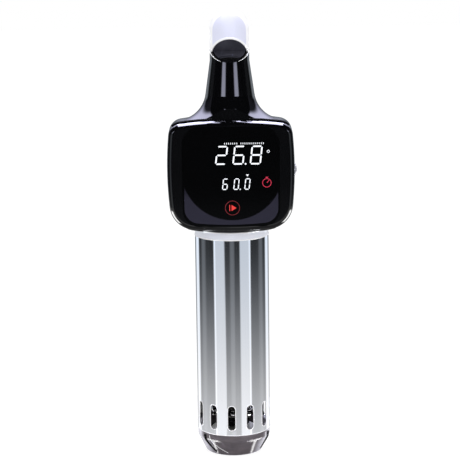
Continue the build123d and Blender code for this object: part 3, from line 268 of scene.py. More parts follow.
def noise(tree, scale, stretch=(1.0, 1.0, 1.0), detail=3.0):
    """Noise over the object's own coordinates."""
    place = tree.nodes.new("ShaderNodeTexCoord")
    mapping = tree.nodes.new("ShaderNodeMapping")
    mapping.inputs["Scale"].default_value = stretch
    texture = tree.nodes.new("ShaderNodeTexNoise")
    texture.inputs["Scale"].default_value = scale
    texture.inputs["Detail"].default_value = detail
    tree.links.new(place.outputs["Object"], mapping.inputs["Vector"])
    tree.links.new(mapping.outputs["Vector"], texture.inputs["Vector"])
    return texture.outputs["Fac"]


def distance(tree, first, second):
    """The length of the straight line that two offsets at right angles make."""
    squares = maths(tree, "MULTIPLY", first, first)
    squares = maths(tree, "ADD", squares, maths(tree, "MULTIPLY", second, second))
    return maths(tree, "SQRT", squares)


def two_colours(tree, share, first, second):
    """first where share is 0, second where it is 1, each a colour or a socket."""
    node = tree.nodes.new("ShaderNodeMix")
    node.data_type = "RGBA"
    for colour, target in ((first, node.inputs["A"]), (second, node.inputs["B"])):
        if isinstance(colour, (tuple, list)):
            target.default_value = (*colour, 1.0)
        else:
            tree.links.new(colour, target)
    link(tree, share, node.inputs["Factor"])
    return node.outputs["Result"]


def relief(tree, shader, height, depth):
    """A fine relief of that depth from a height of 0 to 1."""
    node = tree.nodes.new("ShaderNodeBump")
    node.inputs["Strength"].default_value = 1.0
    node.inputs["Distance"].default_value = depth
    tree.links.new(height, node.inputs["Height"])
    tree.links.new(node.outputs["Normal"], shader.inputs["Normal"])


def finish(
    name,
    colour,
    rough,
    grain,
    metallic=0.0,
    depth=0.0,
    stretch=(1.0, 1.0, 1.0),
    patch=0.12,
    specular=0.5,
):
    """A surface whose colour, gloss and relief vary a little over a grain of that many waves per metre."""
    material, tree, shader = new_material(name)
    pattern = noise(tree, grain, stretch)
    low = [part * (1 - patch) for part in colour]
    high = [min(1.0, part * (1 + patch)) for part in colour]
    tree.links.new(two_colours(tree, pattern, low, high), shader.inputs["Base Color"])
    tree.links.new(spread(tree, pattern, 0.3, 0.7, rough[0], rough[1]), shader.inputs["Roughness"])
    shader.inputs["Metallic"].default_value = metallic
    shader.inputs["Specular IOR Level"].default_value = specular
    if depth:
        relief(tree, shader, pattern, depth)
    return material


def glowing(name, colour, strength):
    """A lit mark of the display, a little uneven along its strokes."""
    material, tree, shader = new_material(name)
    shader.inputs["Base Color"].default_value = (*(0.3 * part for part in colour), 1.0)
    shader.inputs["Emission Color"].default_value = (*colour, 1.0)
    shader.inputs["Roughness"].default_value = 0.4
    glow = spread(tree, noise(tree, 300.0), 0.3, 0.7, 0.92 * strength, strength)
    tree.links.new(glow, shader.inputs["Emission Strength"])
    return material


def cover_with_painted_edge_reflection():
    """Satin with a fine flake: pale lilac on the bend's front, white around and behind it; the white rim
    around the lilac is a painted reflection of the cover's bright edges.
    """
    material, tree, shader = new_material("silver cover")
    x, y, z = place_axes(tree)
    above = maths(tree, "MAXIMUM", maths(tree, "SUBTRACT", z, CREST_Z), 0.0)
    inside = spread(tree, distance(tree, x, above), LILAC_FACE_HALF - LILAC_FACE_SOFT, LILAC_FACE_HALF, 1.0, 0.0)
    ahead = spread(tree, y, LILAC_FACE_BACK_Y - LILAC_FACE_SOFT, LILAC_FACE_BACK_Y, 1.0, 0.0)
    flake = noise(tree, 1400.0)
    lilac = two_colours(tree, flake, (0.66, 0.67, 0.82), (0.72, 0.74, 0.88))
    # The white outside the lilac face is a painted reflection of the cover's bright edges
    colour = two_colours(tree, maths(tree, "MULTIPLY", inside, ahead), (0.92, 0.92, 0.94), lilac)
    tree.links.new(colour, shader.inputs["Base Color"])
    tree.links.new(spread(tree, flake, 0.3, 0.7, 0.34, 0.46), shader.inputs["Roughness"])
    shader.inputs["Specular IOR Level"].default_value = 0.05
    return material


def collar_material():
    """Satin silver paint with a fine flake."""
    material = finish("silver collar", (0.76, 0.78, 0.86), (0.34, 0.46), 1400.0, patch=0.03, specular=0.4)
    shader = material.node_tree.nodes["Principled BSDF"]
    shader.inputs["Sheen Weight"].default_value = 1.0
    shader.inputs["Sheen Roughness"].default_value = 0.35
    return material


def core_material():
    """Dark handle plastic, a little wavy, with a painted dark reflection in the finger dimple."""
    material, tree, shader = new_material("dark core")
    x, y, z = place_axes(tree)
    across = maths(tree, "DIVIDE", x, DIMPLE_HALF_WIDTH)
    along = maths(tree, "DIVIDE", maths(tree, "SUBTRACT", y, DIMPLE_Y), DIMPLE_HALF_LENGTH)
    squares = maths(tree, "MULTIPLY", across, across)
    squares = maths(tree, "ADD", squares, maths(tree, "MULTIPLY", along, along))
    dimple_dark_reflection = spread(tree, squares, 0.95, 1.05, 1.0, 0.0)
    below_notch = spread(tree, z, NOTCH_Z - NOTCH_LINE, NOTCH_Z, 1.0, 0.0)
    wave = noise(tree, 170.0, (1.0, 0.6, 0.6), 1.0)
    plastic = two_colours(tree, wave, (0.022, 0.022, 0.03), (0.065, 0.065, 0.085))
    # Near black in the dimple's oval below the notch: a painted dark reflection
    colour = two_colours(tree, maths(tree, "MULTIPLY", dimple_dark_reflection, below_notch), plastic, (0.003, 0.003, 0.003))
    tree.links.new(colour, shader.inputs["Base Color"])
    tree.links.new(spread(tree, wave, 0.3, 0.7, 0.1, 0.2), shader.inputs["Roughness"])
    relief(tree, shader, wave, 0.12 * MM)
    return material


def lens_material():
    """Black glass with a black border, whose lower part, outside a large circle, is a little lighter."""
    material, tree, shader = new_material("lens")
    x, _, z = place_axes(tree)
    aside = maths(tree, "SUBTRACT", x, SHADE_X)
    above = maths(tree, "SUBTRACT", z, SHADE_Z)
    reach = distance(tree, aside, above)
    outside = spread(tree, reach, SHADE_RADIUS - SHADE_SOFT, SHADE_RADIUS + SHADE_SOFT, smooth=True)
    lower = spread(tree, z, SHADE_END_Z, SHADE_FULL_Z, smooth=True)
    half_width = (lens_high[0] - lens_low[0]) / 2 - BORDER_CORNER
    half_height = (lens_high[2] - lens_low[2]) / 2 - BORDER_CORNER
    past_side = maths(tree, "SUBTRACT", maths(tree, "ABSOLUTE", x), half_width)
    past_side = maths(tree, "MAXIMUM", past_side, 0.0)
    past_end = maths(tree, "ABSOLUTE", maths(tree, "SUBTRACT", z, (lens_high[2] + lens_low[2]) / 2))
    bow = maths(tree, "MULTIPLY", maths(tree, "MULTIPLY", x, x), BORDER_BOW)
    past_end = maths(tree, "ADD", past_end, bow)
    past_end = maths(tree, "MAXIMUM", maths(tree, "SUBTRACT", past_end, half_height), 0.0)
    past = distance(tree, past_side, past_end)
    border_start = BORDER_CORNER - BORDER_WIDTH
    within = spread(tree, past, border_start - BORDER_SOFT, border_start, 1.0, 0.0)
    share = maths(tree, "MULTIPLY", maths(tree, "MULTIPLY", outside, lower), within)
    colour = two_colours(tree, share, (0.0008, 0.0008, 0.001), (0.024, 0.023, 0.037))
    tree.links.new(colour, shader.inputs["Base Color"])
    tree.links.new(spread(tree, noise(tree, 40.0), 0.3, 0.7, 0.02, 0.05), shader.inputs["Roughness"])
    shader.inputs["Specular IOR Level"].default_value = 0.3
    return material


def skirt_material():
    """Polished steel tube: drawn lines outside, and its inside painted near black as shade."""
    material, tree, shader = new_material("skirt steel")
    x, y, _ = place_axes(tree)
    reach = distance(tree, x, y)
    inner = TUBE_RADIUS - TUBE_WALL
    past_inner_shade = spread(tree, reach, inner + INNER_SHADE_START, inner + INNER_SHADE_END)
    lines = noise(tree, 900.0, (1.0, 1.0, 0.01))
    polished = two_colours(tree, lines, (0.86, 0.88, 0.925), (0.90, 0.92, 0.96))
    # Near black on the tube's inner surface: painted shade inside the tube
    colour = two_colours(tree, past_inner_shade, (0.03, 0.03, 0.032), polished)
    tree.links.new(colour, shader.inputs["Base Color"])
    shader.inputs["Metallic"].default_value = 1.0
    tree.links.new(spread(tree, lines, 0.3, 0.7, 0.03, 0.08), shader.inputs["Roughness"])
    relief(tree, shader, noise(tree, 1500.0, (1.0, 1.0, 0.008)), 0.001 * MM)
    return material


def smoked_material():
    """Smoked clear plastic, a little cloudy, with a painted reflection that makes it paler where it is seen
    edge on.
    """
    material, tree, shader = new_material("smoked plastic")
    cloud = noise(tree, 90.0, (1.0, 1.0, 2.5))
    smoke = two_colours(tree, cloud, (0.07, 0.06, 0.068), (0.20, 0.175, 0.195))
    edge = tree.nodes.new("ShaderNodeLayerWeight")
    edge.inputs["Blend"].default_value = 0.5
    edge_reflection_share = spread(tree, edge.outputs["Facing"], 0.42, 0.75, smooth=True)
    # Pale lilac toward edge-on views: a painted reflection of the white surroundings
    colour = two_colours(tree, edge_reflection_share, smoke, (0.85, 0.83, 0.93))
    tree.links.new(colour, shader.inputs["Base Color"])
    tree.links.new(spread(tree, cloud, 0.3, 0.7, 0.05, 0.1), shader.inputs["Roughness"])
    shader.inputs["Transmission Weight"].default_value = 0.15
    shader.inputs["Specular IOR Level"].default_value = 0.2
    shader.inputs["IOR"].default_value = 1.55
    return material


lens_low, lens_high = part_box("display_lens")
black_gloss = finish("black gloss", (0.002, 0.002, 0.0025), (0.03, 0.06), 70.0)
black_seal = finish("black seal", (0.004, 0.004, 0.004), (0.5, 0.6), 900.0, specular=0.02)
heater_steel = finish("heater steel", (0.85, 0.84, 0.83), (0.05, 0.1), 400.0, metallic=1.0, depth=0.01 * MM)
# Very dark steel for the parts inside the skirt: painted shade where they show through the slots
shaded_pump_steel = finish("pump steel", (0.10, 0.10, 0.10), (0.2, 0.3), 400.0, metallic=1.0)
# White trim for beads along edges: a painted highlight on each of those edges
highlight_white_trim = finish("white trim as painted highlight", (0.93, 0.93, 0.95), (0.15, 0.25), 600.0, patch=0.02)
board_colour = (0.012, 0.12, 0.05)
board_green = finish("circuit board", board_colour, (0.35, 0.5), 500.0, depth=0.02 * MM, patch=0.3)
plastic_colour = (0.72, 0.72, 0.69)
white_plastic = finish("white plastic", plastic_colour, (0.3, 0.45), 900.0, depth=0.01 * MM, patch=0.04)

materials = {
    "black_gloss": black_gloss,
    "silver_cover": cover_with_painted_edge_reflection(),
    "silver_collar": collar_material(),
    "dark_lens": lens_material(),
    "black_rubber": finish("black rubber", (0.014, 0.014, 0.014), (0.6, 0.8), 900.0, depth=0.02 * MM),
    "film": finish("touch film", (0.45, 0.22, 0.05), (0.35, 0.5), 300.0),
    "display_glass": finish("display", (0.01, 0.012, 0.015), (0.06, 0.12), 80.0),
    "board_green": board_green,
    "black_matte": finish("black plastic", (0.014, 0.014, 0.015), (0.35, 0.5), 1200.0, depth=0.02 * MM),
    "aluminium": finish("aluminium", (0.78, 0.79, 0.81), (0.28, 0.4), 500.0, 1.0, stretch=(1.0, 1.0, 0.1)),
    "dark_screw": finish("black screws", (0.06, 0.06, 0.065), (0.25, 0.4), 700.0, metallic=1.0),
    "white_plastic": white_plastic,
    "steel": finish("steel", (0.55, 0.56, 0.58), (0.18, 0.3), 500.0, 1.0, stretch=(1.0, 1.0, 0.05)),
    "skirt_steel": skirt_material(),
    "heater_steel": heater_steel,
    "bronze": finish("bronze", (0.60, 0.42, 0.20), (0.3, 0.45), 800.0, metallic=1.0),
    "motor_paint": finish("motor paint", (0.10, 0.105, 0.115), (0.35, 0.45), 900.0, depth=0.02 * MM),
    "iron": finish("iron", (0.25, 0.25, 0.26), (0.4, 0.6), 600.0, metallic=1.0),
    "smoked_cap": smoked_material(),
    "wheel_chrome": finish("wheel silver", (0.66, 0.66, 0.71), (0.25, 0.35), 400.0, metallic=0.2),
}
own_materials = {
    "handle_core": core_material(),
    # Parts inside the skirt take the steel painted dark as shade
    "stem_tube": shaded_pump_steel,
    "pump_plate": shaded_pump_steel,
    "temperature_probe": shaded_pump_steel,
    "level_electrodes": shaded_pump_steel,
}
for part in frame["record"]["subparts"]:
    name = part["node"]
    surface = own_materials.get(name, materials[part["material_slot"]])
    nodes[name].data.materials.clear()
    nodes[name].data.materials.append(surface)


# Display marks, flat pieces just in front of the lens
MARK_Y = lens_low[1] - MARK_LIFT

SEGMENTS = {"0": "abcdef", "2": "abged", "6": "afgedc", "8": "abcdefg"}


def flat_piece(name, outlines, material):
    """A flat mesh that faces -Y, one polygon for each outline of X and Z, riding on the head."""
    points = []
    faces = []
    for outline in outlines:
        start = len(points)
        points += [(x, MARK_Y, z) for x, z in outline]
        faces.append(range(start, start + len(outline)))
    mesh = bpy.data.meshes.new(name)
    mesh.from_pydata(points, [], faces)
    mesh.materials.append(material)
    piece = bpy.data.objects.new(name, mesh)
    bpy.context.collection.objects.link(piece)
    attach(piece, "head")


def figure_outlines(figure, left, foot, width, height, stroke):
    """The outlines of one slanted seven-segment figure."""
    half = stroke / 2
    gap = SEGMENT_GAP * stroke
    middle = height / 2

    def level(z):
        low = half + gap
        high = width - half - gap
        return [
            (low, z),
            (low + half, z + half),
            (high - half, z + half),
            (high, z),
            (high - half, z - half),
            (low + half, z - half),
        ]

    def upright(x, low, high):
        low = low + gap
        high = high - gap
        return [
            (x, low),
            (x - half, low + half),
            (x - half, high - half),
            (x, high),
            (x + half, high - half),
            (x + half, low + half),
        ]

    shapes = {
        "a": level(height - half),
        "g": level(middle),
        "d": level(half),
        "f": upright(half, middle, height - half),
        "e": upright(half, half, middle),
        "b": upright(width - half, middle, height - half),
        "c": upright(width - half, half, middle),
    }
    outlines = []
    for segment in SEGMENTS[figure]:
        outlines.append([(left + x + DIGIT_SLANT * z, foot + z) for x, z in shapes[segment]])
    return outlines


def disc_outline(x, z, radius, count=24):
    """A round outline."""
    turns = [2 * math.pi * step / count for step in range(count)]
    return [(x + radius * math.cos(turn), z + radius * math.sin(turn)) for turn in turns]


def ring_outlines(x, z, radius, stroke, count=48):
    """A ring as a band of small four-sided outlines."""
    outlines = []
    for step in range(count):
        first = 2 * math.pi * step / count
        second = 2 * math.pi * (step + 1) / count
        corners = ((radius, first), (radius, second), (radius - stroke, second), (radius - stroke, first))
        outlines.append([(x + reach * math.cos(turn), z + reach * math.sin(turn)) for reach, turn in corners])
    return outlines


def bar_outline(start, end, stroke):
    """A straight bar between two points."""
    start = Vector(start)
    end = Vector(end)
    along = (end - start).normalized()
    across = Vector((-along.y, along.x)) * stroke / 2
    corners = (start + across, start - across, end - across, end + across)
    return [(corner.x, corner.y) for corner in corners]


white_outlines = []
for figure, left in BIG_FIGURES:
    white_outlines += figure_outlines(figure, left, BIG_FOOT, BIG_WIDTH, BIG_HEIGHT, BIG_STROKE)
white_outlines.append(disc_outline(BIG_DOT_X, BIG_FOOT + BIG_STROKE / 2, BIG_DOT_SIZE * BIG_STROKE))
for figure, left in SMALL_FIGURES:
    white_outlines += figure_outlines(figure, left, SMALL_FOOT, SMALL_WIDTH, SMALL_HEIGHT, SMALL_STROKE)
white_outlines.append(disc_outline(SMALL_DOT_X, SMALL_FOOT + SMALL_STROKE / 2, SMALL_DOT_SIZE * SMALL_STROKE))
white_outlines += ring_outlines(*UNIT_PLACE, UNIT_RADIUS, UNIT_STROKE)
for tick in range(TICK_COUNT):
    if tick == TICK_SKIP:
        continue
    tick_x = TICK_START + tick * TICK_PITCH
    white_outlines.append(bar_outline((tick_x, TICK_FOOT), (tick_x, TICK_FOOT + TICK_HEIGHT), TICK_WIDTH))
label_x, label_z = LABEL_PLACE
label_top = label_z + LABEL_SIZE / 2
label_foot = label_z - LABEL_SIZE
label = [(label_x - LABEL_SIZE, label_top), (label_x, label_foot), (label_x + LABEL_SIZE, label_top)]
white_outlines.append(label)
flat_piece("display_figures", white_outlines, glowing("white figures", (0.92, 0.95, 1.0), 1.0))

timer_x, timer_z = TIMER_PLACE
timer_outlines = ring_outlines(timer_x, timer_z, TIMER_RADIUS, TIMER_STROKE)
hand_tip = (timer_x + HAND_REACH[0], timer_z + HAND_REACH[1])
timer_outlines.append(bar_outline(TIMER_PLACE, hand_tip, HAND_STROKE))
crown_z = timer_z + CROWN_RISE
crown = bar_outline((timer_x - CROWN_HALF, crown_z), (timer_x + CROWN_HALF, crown_z), CROWN_STROKE)
timer_outlines.append(crown)
flat_piece("timer_mark", timer_outlines, glowing("timer mark", (0.62, 0.025, 0.07), 0.9))

start_x, start_z = START_PLACE
start_ring = ring_outlines(start_x, start_z, START_RADIUS, START_STROKE)
flat_piece("start_ring", start_ring, glowing("start ring", (0.13, 0.005, 0.008), 1.0))
arrow_back = start_x - ARROW_BACK
arrow_tip = start_x + ARROW_TIP
arrow_foot = start_z - ARROW_HALF
arrow_top = start_z + ARROW_HALF
bar_x = start_x - ARROW_BAR
start_arrow = [
    [(arrow_back, arrow_foot), (arrow_tip, start_z), (arrow_back, arrow_top)],
    bar_outline((bar_x, arrow_foot), (bar_x, arrow_top), ARROW_BAR_STROKE),
]
flat_piece("start_arrow", start_arrow, glowing("start arrow", (0.72, 0.035, 0.03), 1.0))


# Trims, round beads along a line of points; the white ones are painted highlights on edges


def bead(name, lines, radius, material, body, closed=False):
    """Round beads of that radius, times each point's own size, along lines of points and sizes."""
    curve = bpy.data.curves.new(name, "CURVE")
    curve.dimensions = "3D"
    curve.bevel_depth = radius
    curve.bevel_resolution = 3
    curve.use_fill_caps = True
    for points, sizes in lines:
        spline = curve.splines.new("POLY")
        spline.points.add(len(points) - 1)
        spline.use_cyclic_u = closed
        for point, place, size in zip(spline.points, points, sizes):
            point.co = (*place, 1.0)
            point.radius = size
    curve.materials.append(material)
    piece = bpy.data.objects.new(name, curve)
    bpy.context.collection.objects.link(piece)
    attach(piece, body)


def arch_point(turn):
    """The middle of the cover's lower edge at that turn around the handle, in the notch's plane."""
    middle = HANDLE_RADIUS - COVER_WALL / 2
    reach = BEND_RADIUS + middle * math.cos(turn)
    bend_y = NECK_Y + BEND_RADIUS
    offset = (NOTCH_Z - BEND_Z) * math.cos(NOTCH_RISE) + (NOTCH_Y - bend_y) * math.sin(NOTCH_RISE)
    swing = NOTCH_RISE + math.asin(max(-1.0, offset / reach))
    return (middle * math.sin(turn), bend_y - reach * math.cos(swing), BEND_Z + reach * math.sin(swing))


def rim_point(turn):
    """The outer edge of the neck's sloping rim at that turn from the front."""
    lean = (NECK_FOOT_RADIUS - HANDLE_RADIUS) / (BEND_Z - BELL_TOP_Z)
    slope = math.tan(NOTCH_FALL)
    level = BEND_Z - NOTCH_Z - (NECK_Y - NOTCH_Y) * slope
    radius = (HANDLE_RADIUS + lean * level) / (1 - lean * slope * math.cos(turn))
    radius = max(radius, HANDLE_RADIUS)
    y = NECK_Y - radius * math.cos(turn)
    return (radius * math.sin(turn), y, NOTCH_Z + (y - NOTCH_Y) * slope)


arch_turns = [ARCH_REACH * (2 * step / TRIM_STEPS - 1) for step in range(TRIM_STEPS + 1)]
arch_points = [arch_point(turn) for turn in arch_turns]
arch_sizes = [1 + ARCH_SWELL * math.cos(turn) for turn in arch_turns]
# A white bead along the cover's lower edge: a painted highlight
bead("cover_edge_highlight", [(arch_points, arch_sizes)], ARCH_BEAD, highlight_white_trim, "head")
# White beads along the neck's sloping rim: painted highlights
for side, sign in (("left", -1), ("right", 1)):
    shares = [step / TRIM_STEPS for step in range(TRIM_STEPS + 1)]
    rim_points = [rim_point(sign * (RIM_START + (RIM_END - RIM_START) * share)) for share in shares]
    rim_sizes = [RIM_BEAD_END + (1 - RIM_BEAD_END) * share for share in shares]
    bead(f"rim_edge_highlight_{side}", [(rim_points, rim_sizes)], RIM_BEAD, highlight_white_trim, "head")


def seam_point(x):
    """A point of the seam: level with the head's crowned top, and in front of the bell where that rises."""
    shell = nodes["front_shell"]
    arc = (HEAD_TOP_HALF**2 + HEAD_CROWN**2) / (2 * HEAD_CROWN)
    crown_z = HEAD_TOP - arc + math.sqrt(arc**2 - x**2)
    below = shell.ray_cast((x, SEAM_Y, OUTSIDE), (0.0, 0.0, -1.0))
    z = min(crown_z, below[1].z) + SEAM_LIFT
    ahead = shell.ray_cast((x, -OUTSIDE, z), (0.0, 1.0, 0.0))
    y = min(ahead[1].y, SEAM_Y) if ahead[0] else SEAM_Y
    return (x, max(y, cad_low[1] + SEAM_RADIUS), z)


for side, sign in (("left", -1), ("right", 1)):
    shares = [step / SEAM_STEPS for step in range(SEAM_STEPS + 1)]
    seam_points = [seam_point(sign * (SEAM_START + (SEAM_END - SEAM_START) * share)) for share in shares]
    seam_sizes = [1.0] * len(seam_points)
    bead(f"seam_{side}", [(seam_points, seam_sizes)], SEAM_RADIUS, black_seal, "head")


def foot_point(x):
    """A point on the underside of the head, behind its rounded front edge."""
    y = cad_low[1] + FOOT_INSET
    below = nodes["front_shell"].ray_cast((x, y, -OUTSIDE), (0.0, 0.0, 1.0))
    return (x, y, below[1].z + FOOT_LIFT)


foot_shares = [2 * step / FOOT_STEPS - 1 for step in range(FOOT_STEPS + 1)]
foot_points = [foot_point(FOOT_REACH * share) for share in foot_shares]
foot_sizes = [1 - (1 - FOOT_BEAD_END) * share * share for share in foot_shares]
bead("foot_lip", [(foot_points, foot_sizes)], FOOT_BEAD, black_gloss, "head")


def ring_line(radius, z):
    """A level ring of points around the Z axis."""
    turns = [2 * math.pi * step / RING_STEPS for step in range(RING_STEPS)]
    points = [(radius * math.cos(turn), radius * math.sin(turn), z) for turn in turns]
    return points, [1.0] * RING_STEPS


def slot_line(turn):
    """The edge of one slot of the skirt, whose middle is at that turn from the front."""
    half = SLOT_WIDTH / 2
    middle = TUBE_END + SLOT_FOOT + SLOT_LENGTH / 2
    straight = SLOT_LENGTH / 2 - half
    outline = []
    for end, lift in ((0.0, straight), (math.pi, -straight)):
        for step in range(ROLL_STEPS + 1):
            swing = end + math.pi * step / ROLL_STEPS
            outline.append((half * math.cos(swing), middle + lift + half * math.sin(swing)))
    reach = TUBE_RADIUS - ROLL_SINK
    points = []
    for across, z in outline:
        at = turn + math.asin(across / reach)
        points.append((reach * math.sin(at), -reach * math.cos(at), z))
    return points, [1.0] * len(points)


slot_turns = [SLOT_TURN + 2 * math.pi * index / SLOT_COUNT for index in range(SLOT_COUNT)]
slot_lines = [slot_line(turn) for turn in slot_turns]
# White beads round the slots and along the skirt's foot: painted highlights on rolled edges
bead("slot_rim_highlights", slot_lines, ROLL_RADIUS, highlight_white_trim, "skirt", closed=True)
lip_line = ring_line(TUBE_RADIUS - ROLL_SINK, TUBE_END + ROLL_RADIUS)
bead("skirt_lip_highlight", [lip_line], ROLL_RADIUS, highlight_white_trim, "skirt", closed=True)
# White beads on the collar: painted highlights on its edges
band_lines = [ring_line(TUBE_RADIUS - ROLL_SINK, z) for z in BAND_BEAD_HEIGHTS]
bead("collar_highlight_beads", band_lines, BAND_BEAD, highlight_white_trim, "head", closed=True)


def rib_points(turn_top, sweep):
    """Points down the cap's outside from its rim, swinging by sweep degrees on the way to its foot."""
    cap = nodes["bottom_cap"]
    points = []
    for step in range(RIB_STEPS + 1):
        share = step / RIB_STEPS
        z = RIB_TOP_Z + share * (RIB_FOOT_Z - RIB_TOP_Z)
        turn = math.radians(turn_top + sweep * share * share)
        outward = Vector((math.sin(turn), -math.cos(turn), 0.0))
        hit = cap.ray_cast(OUTSIDE * outward + Vector((0.0, 0.0, z)), -outward)
        points.append(hit[1])
    return points


rib_sizes = [1.0 - RIB_TAPER * step / RIB_STEPS for step in range(RIB_STEPS + 1)]
for index, (turn_top, sweep) in enumerate(CAP_RIBS, start=1):
    rib = rib_points(turn_top, sweep)
    bead(f"cap_rib_{index}", [(rib, rib_sizes)], RIB_RADIUS, black_seal, "cap")
# White lines on the cap beside the ribs: painted highlights
for index, (turn_top, sweep) in enumerate(CAP_HIGHLIGHT_LINES, start=1):
    line = rib_points(turn_top, sweep)
    bead(f"cap_highlight_line_{index}", [(line, rib_sizes)], HIGHLIGHT_LINE_RADIUS, highlight_white_trim, "cap")


# Floor
FLOOR_HALF = 4.0
FLOOR_GAP = 0.3 * MM
FLOOR_GLOW_SHARE = 0.8
FLOOR_GLOW = 1.12
floor_z = cad_low[2] - FLOOR_GAP
floor_corners = [(-1, -1), (1, -1), (1, 1), (-1, 1)]
floor_mesh = bpy.data.meshes.new("floor")
floor_points = [(FLOOR_HALF * x, FLOOR_HALF * y, floor_z) for x, y in floor_corners]
floor_mesh.from_pydata(floor_points, [], [(0, 1, 2, 3)])
floor = bpy.data.objects.new("floor", floor_mesh)
bpy.context.collection.objects.link(floor)
floor.visible_glossy = False
floor.visible_transmission = False
floor_material, floor_tree, floor_shader = new_material("pale floor")
floor_shader.inputs["Base Color"].default_value = (0.9, 0.9, 0.9, 1.0)
floor_shader.inputs["Roughness"].default_value = 0.9
floor_shader.inputs["Specular IOR Level"].default_value = 0.0
floor_glow = floor_tree.nodes.new("ShaderNodeEmission")
floor_glow.inputs["Strength"].default_value = FLOOR_GLOW
floor_path = floor_tree.nodes.new("ShaderNodeLightPath")
floor_mix = floor_tree.nodes.new("ShaderNodeMixShader")
glow_share = maths(floor_tree, "MULTIPLY", floor_path.outputs["Is Camera Ray"], FLOOR_GLOW_SHARE)
floor_tree.links.new(glow_share, floor_mix.inputs["Fac"])
floor_tree.links.new(floor_shader.outputs["BSDF"], floor_mix.inputs[1])
floor_tree.links.new(floor_glow.outputs["Emission"], floor_mix.inputs[2])
floor_tree.links.new(floor_mix.outputs["Shader"], floor_tree.nodes["Material Output"].inputs["Surface"])
floor_mesh.materials.append(floor_material)


# Studio: white behind, and for what is glossy white panels with dark gaps between them
# Its places are directions, in degrees but for aside: bearing is the way round from the front to either side,
# rise and fall are above and below level, over goes from the front over the top to the back, and aside is how
# far the direction leans to a side, from 0 to 1
PLAIN_LIGHT = 0.88
PANEL_LEVELS = (
    (0, 0.15),
    (5, 0.13),
    (9, 0.028),
    (22, 0.022),
    (26, 0.67),
    (53, 0.67),
    (54.5, 1.0),
    (57.5, 1.0),
    (61, 0.022),
    (88, 0.028),
    (97, 0.13),
    (106, 0.13),
    (114, 0.035),
    (124, 0.035),
    (130, 0.95),
    (148, 0.95),
    (153, 0.3),
    (172, 0.22),
    (180, 0.35),
)
OVERHEAD_SCALE = 30.0
STROKE_LEVELS = (
    (0, 0.0),
    (56, 0.0),
    (62, 30.0),
    (140, 30.0),
    (150, 0.0),
    (180, 0.0),
)
SHOULDER_LEVELS = (
    (0, 0.0),
    (100, 0.0),
    (106, 10.0),
    (132, 7.0),
    (152, 4.0),
    (166, 1.2),
    (174, 0.5),
    (180, 0.5),
)
TABLE_LEVEL = 1.55
TABLE_SHARE = 0.93
TABLE_FALL = (11.0, 26.0)
UNDER_LEVEL = 0.3
UNDER_FALL = (20.0, 32.0)
FRONT_LEVEL = 0.3
FRONT_BEARING = (0.0, 10.0)
FRONT_SOFT = 6.0
FRONT_FALL = (9.8, 11.2)
CORNER_LEVEL = 18.0
CORNER_START = (48.0, 62.0)
CORNER_END = (102.0, 114.0)
CORNER_FALL = (26.0, 52.0)
CORNER_SOFT = 4.0
STROKE_ASIDE = (0.055, 0.3)
STROKE_SOFT = 0.008
SHOULDER_ASIDE = (0.15, 0.3)
SHOULDER_REST = 0.03
SHOULDER_BEHIND = (136.0, 146.0)
OVERHEAD_ASIDE = (0.55, 0.75)
OVERHEAD_REST = 0.02
UPPER_RISE = (2.0, 8.0)
BOX_LEVEL = 7.0
BOX_BEARING = (26.0, 38.0)
BOX_BEARING_SOFT = 7.0
BOX_RISE = (7.0, 9.4)
BOX_RISE_SOFT = 1.6
COOL = (0.87, 0.95, 1.05)
COOL_FALL = (11.0, 16.0)
LILAC = (0.80, 0.80, 1.06)
LILAC_RISE = (4.0, 10.0)
WHITE = (1.0, 1.0, 1.0)
DEGREES = 180 / math.pi

world = bpy.data.worlds.new("studio")
bpy.context.scene.world = world
world.use_nodes = True
sky = world.node_tree
sky.nodes.clear()


def between(value, start, end, soft):
    """1 between start and end, falling to 0 over soft outside them."""
    risen = spread(sky, value, start - soft, start, smooth=True)
    fallen = spread(sky, value, end, end + soft, 1.0, 0.0, smooth=True)
    return maths(sky, "MULTIPLY", risen, fallen)


def blend(share, first, second):
    """first where share is 0 and second where it is 1."""
    rest = maths(sky, "SUBTRACT", 1.0, share)
    return maths(sky, "ADD", maths(sky, "MULTIPLY", rest, first), maths(sky, "MULTIPLY", share, second))


direction = sky.nodes.new("ShaderNodeTexCoord")
axes = sky.nodes.new("ShaderNodeSeparateXYZ")
sky.links.new(direction.outputs["Generated"], axes.inputs["Vector"])
forward = maths(sky, "MULTIPLY", axes.outputs["Y"], -1.0)
bearing = maths(sky, "ABSOLUTE", maths(sky, "ARCTAN2", axes.outputs["X"], forward))
bearing = maths(sky, "MULTIPLY", bearing, DEGREES)
rise = maths(sky, "MULTIPLY", maths(sky, "ARCSINE", axes.outputs["Z"]), DEGREES)
over = maths(sky, "MULTIPLY", maths(sky, "ARCTAN2", axes.outputs["Z"], forward), DEGREES)
fall = maths(sky, "MULTIPLY", rise, -1.0)
aside = maths(sky, "ABSOLUTE", axes.outputs["X"])


def levels(angle, stops, scale=1.0):
    """A level for each angle of 0 to 180 degrees, straight between the stops."""
    ramp = sky.nodes.new("ShaderNodeValToRGB")
    elements = ramp.color_ramp.elements
    for index, (degrees, level) in enumerate(stops):
        element = elements[index] if index < 2 else elements.new(degrees / 180)
        element.position = degrees / 180
        element.color = (level / scale, level / scale, level / scale, 1.0)
    sky.links.new(maths(sky, "DIVIDE", angle, 180.0), ramp.inputs["Fac"])
    return maths(sky, "MULTIPLY", ramp.outputs["Color"], scale)


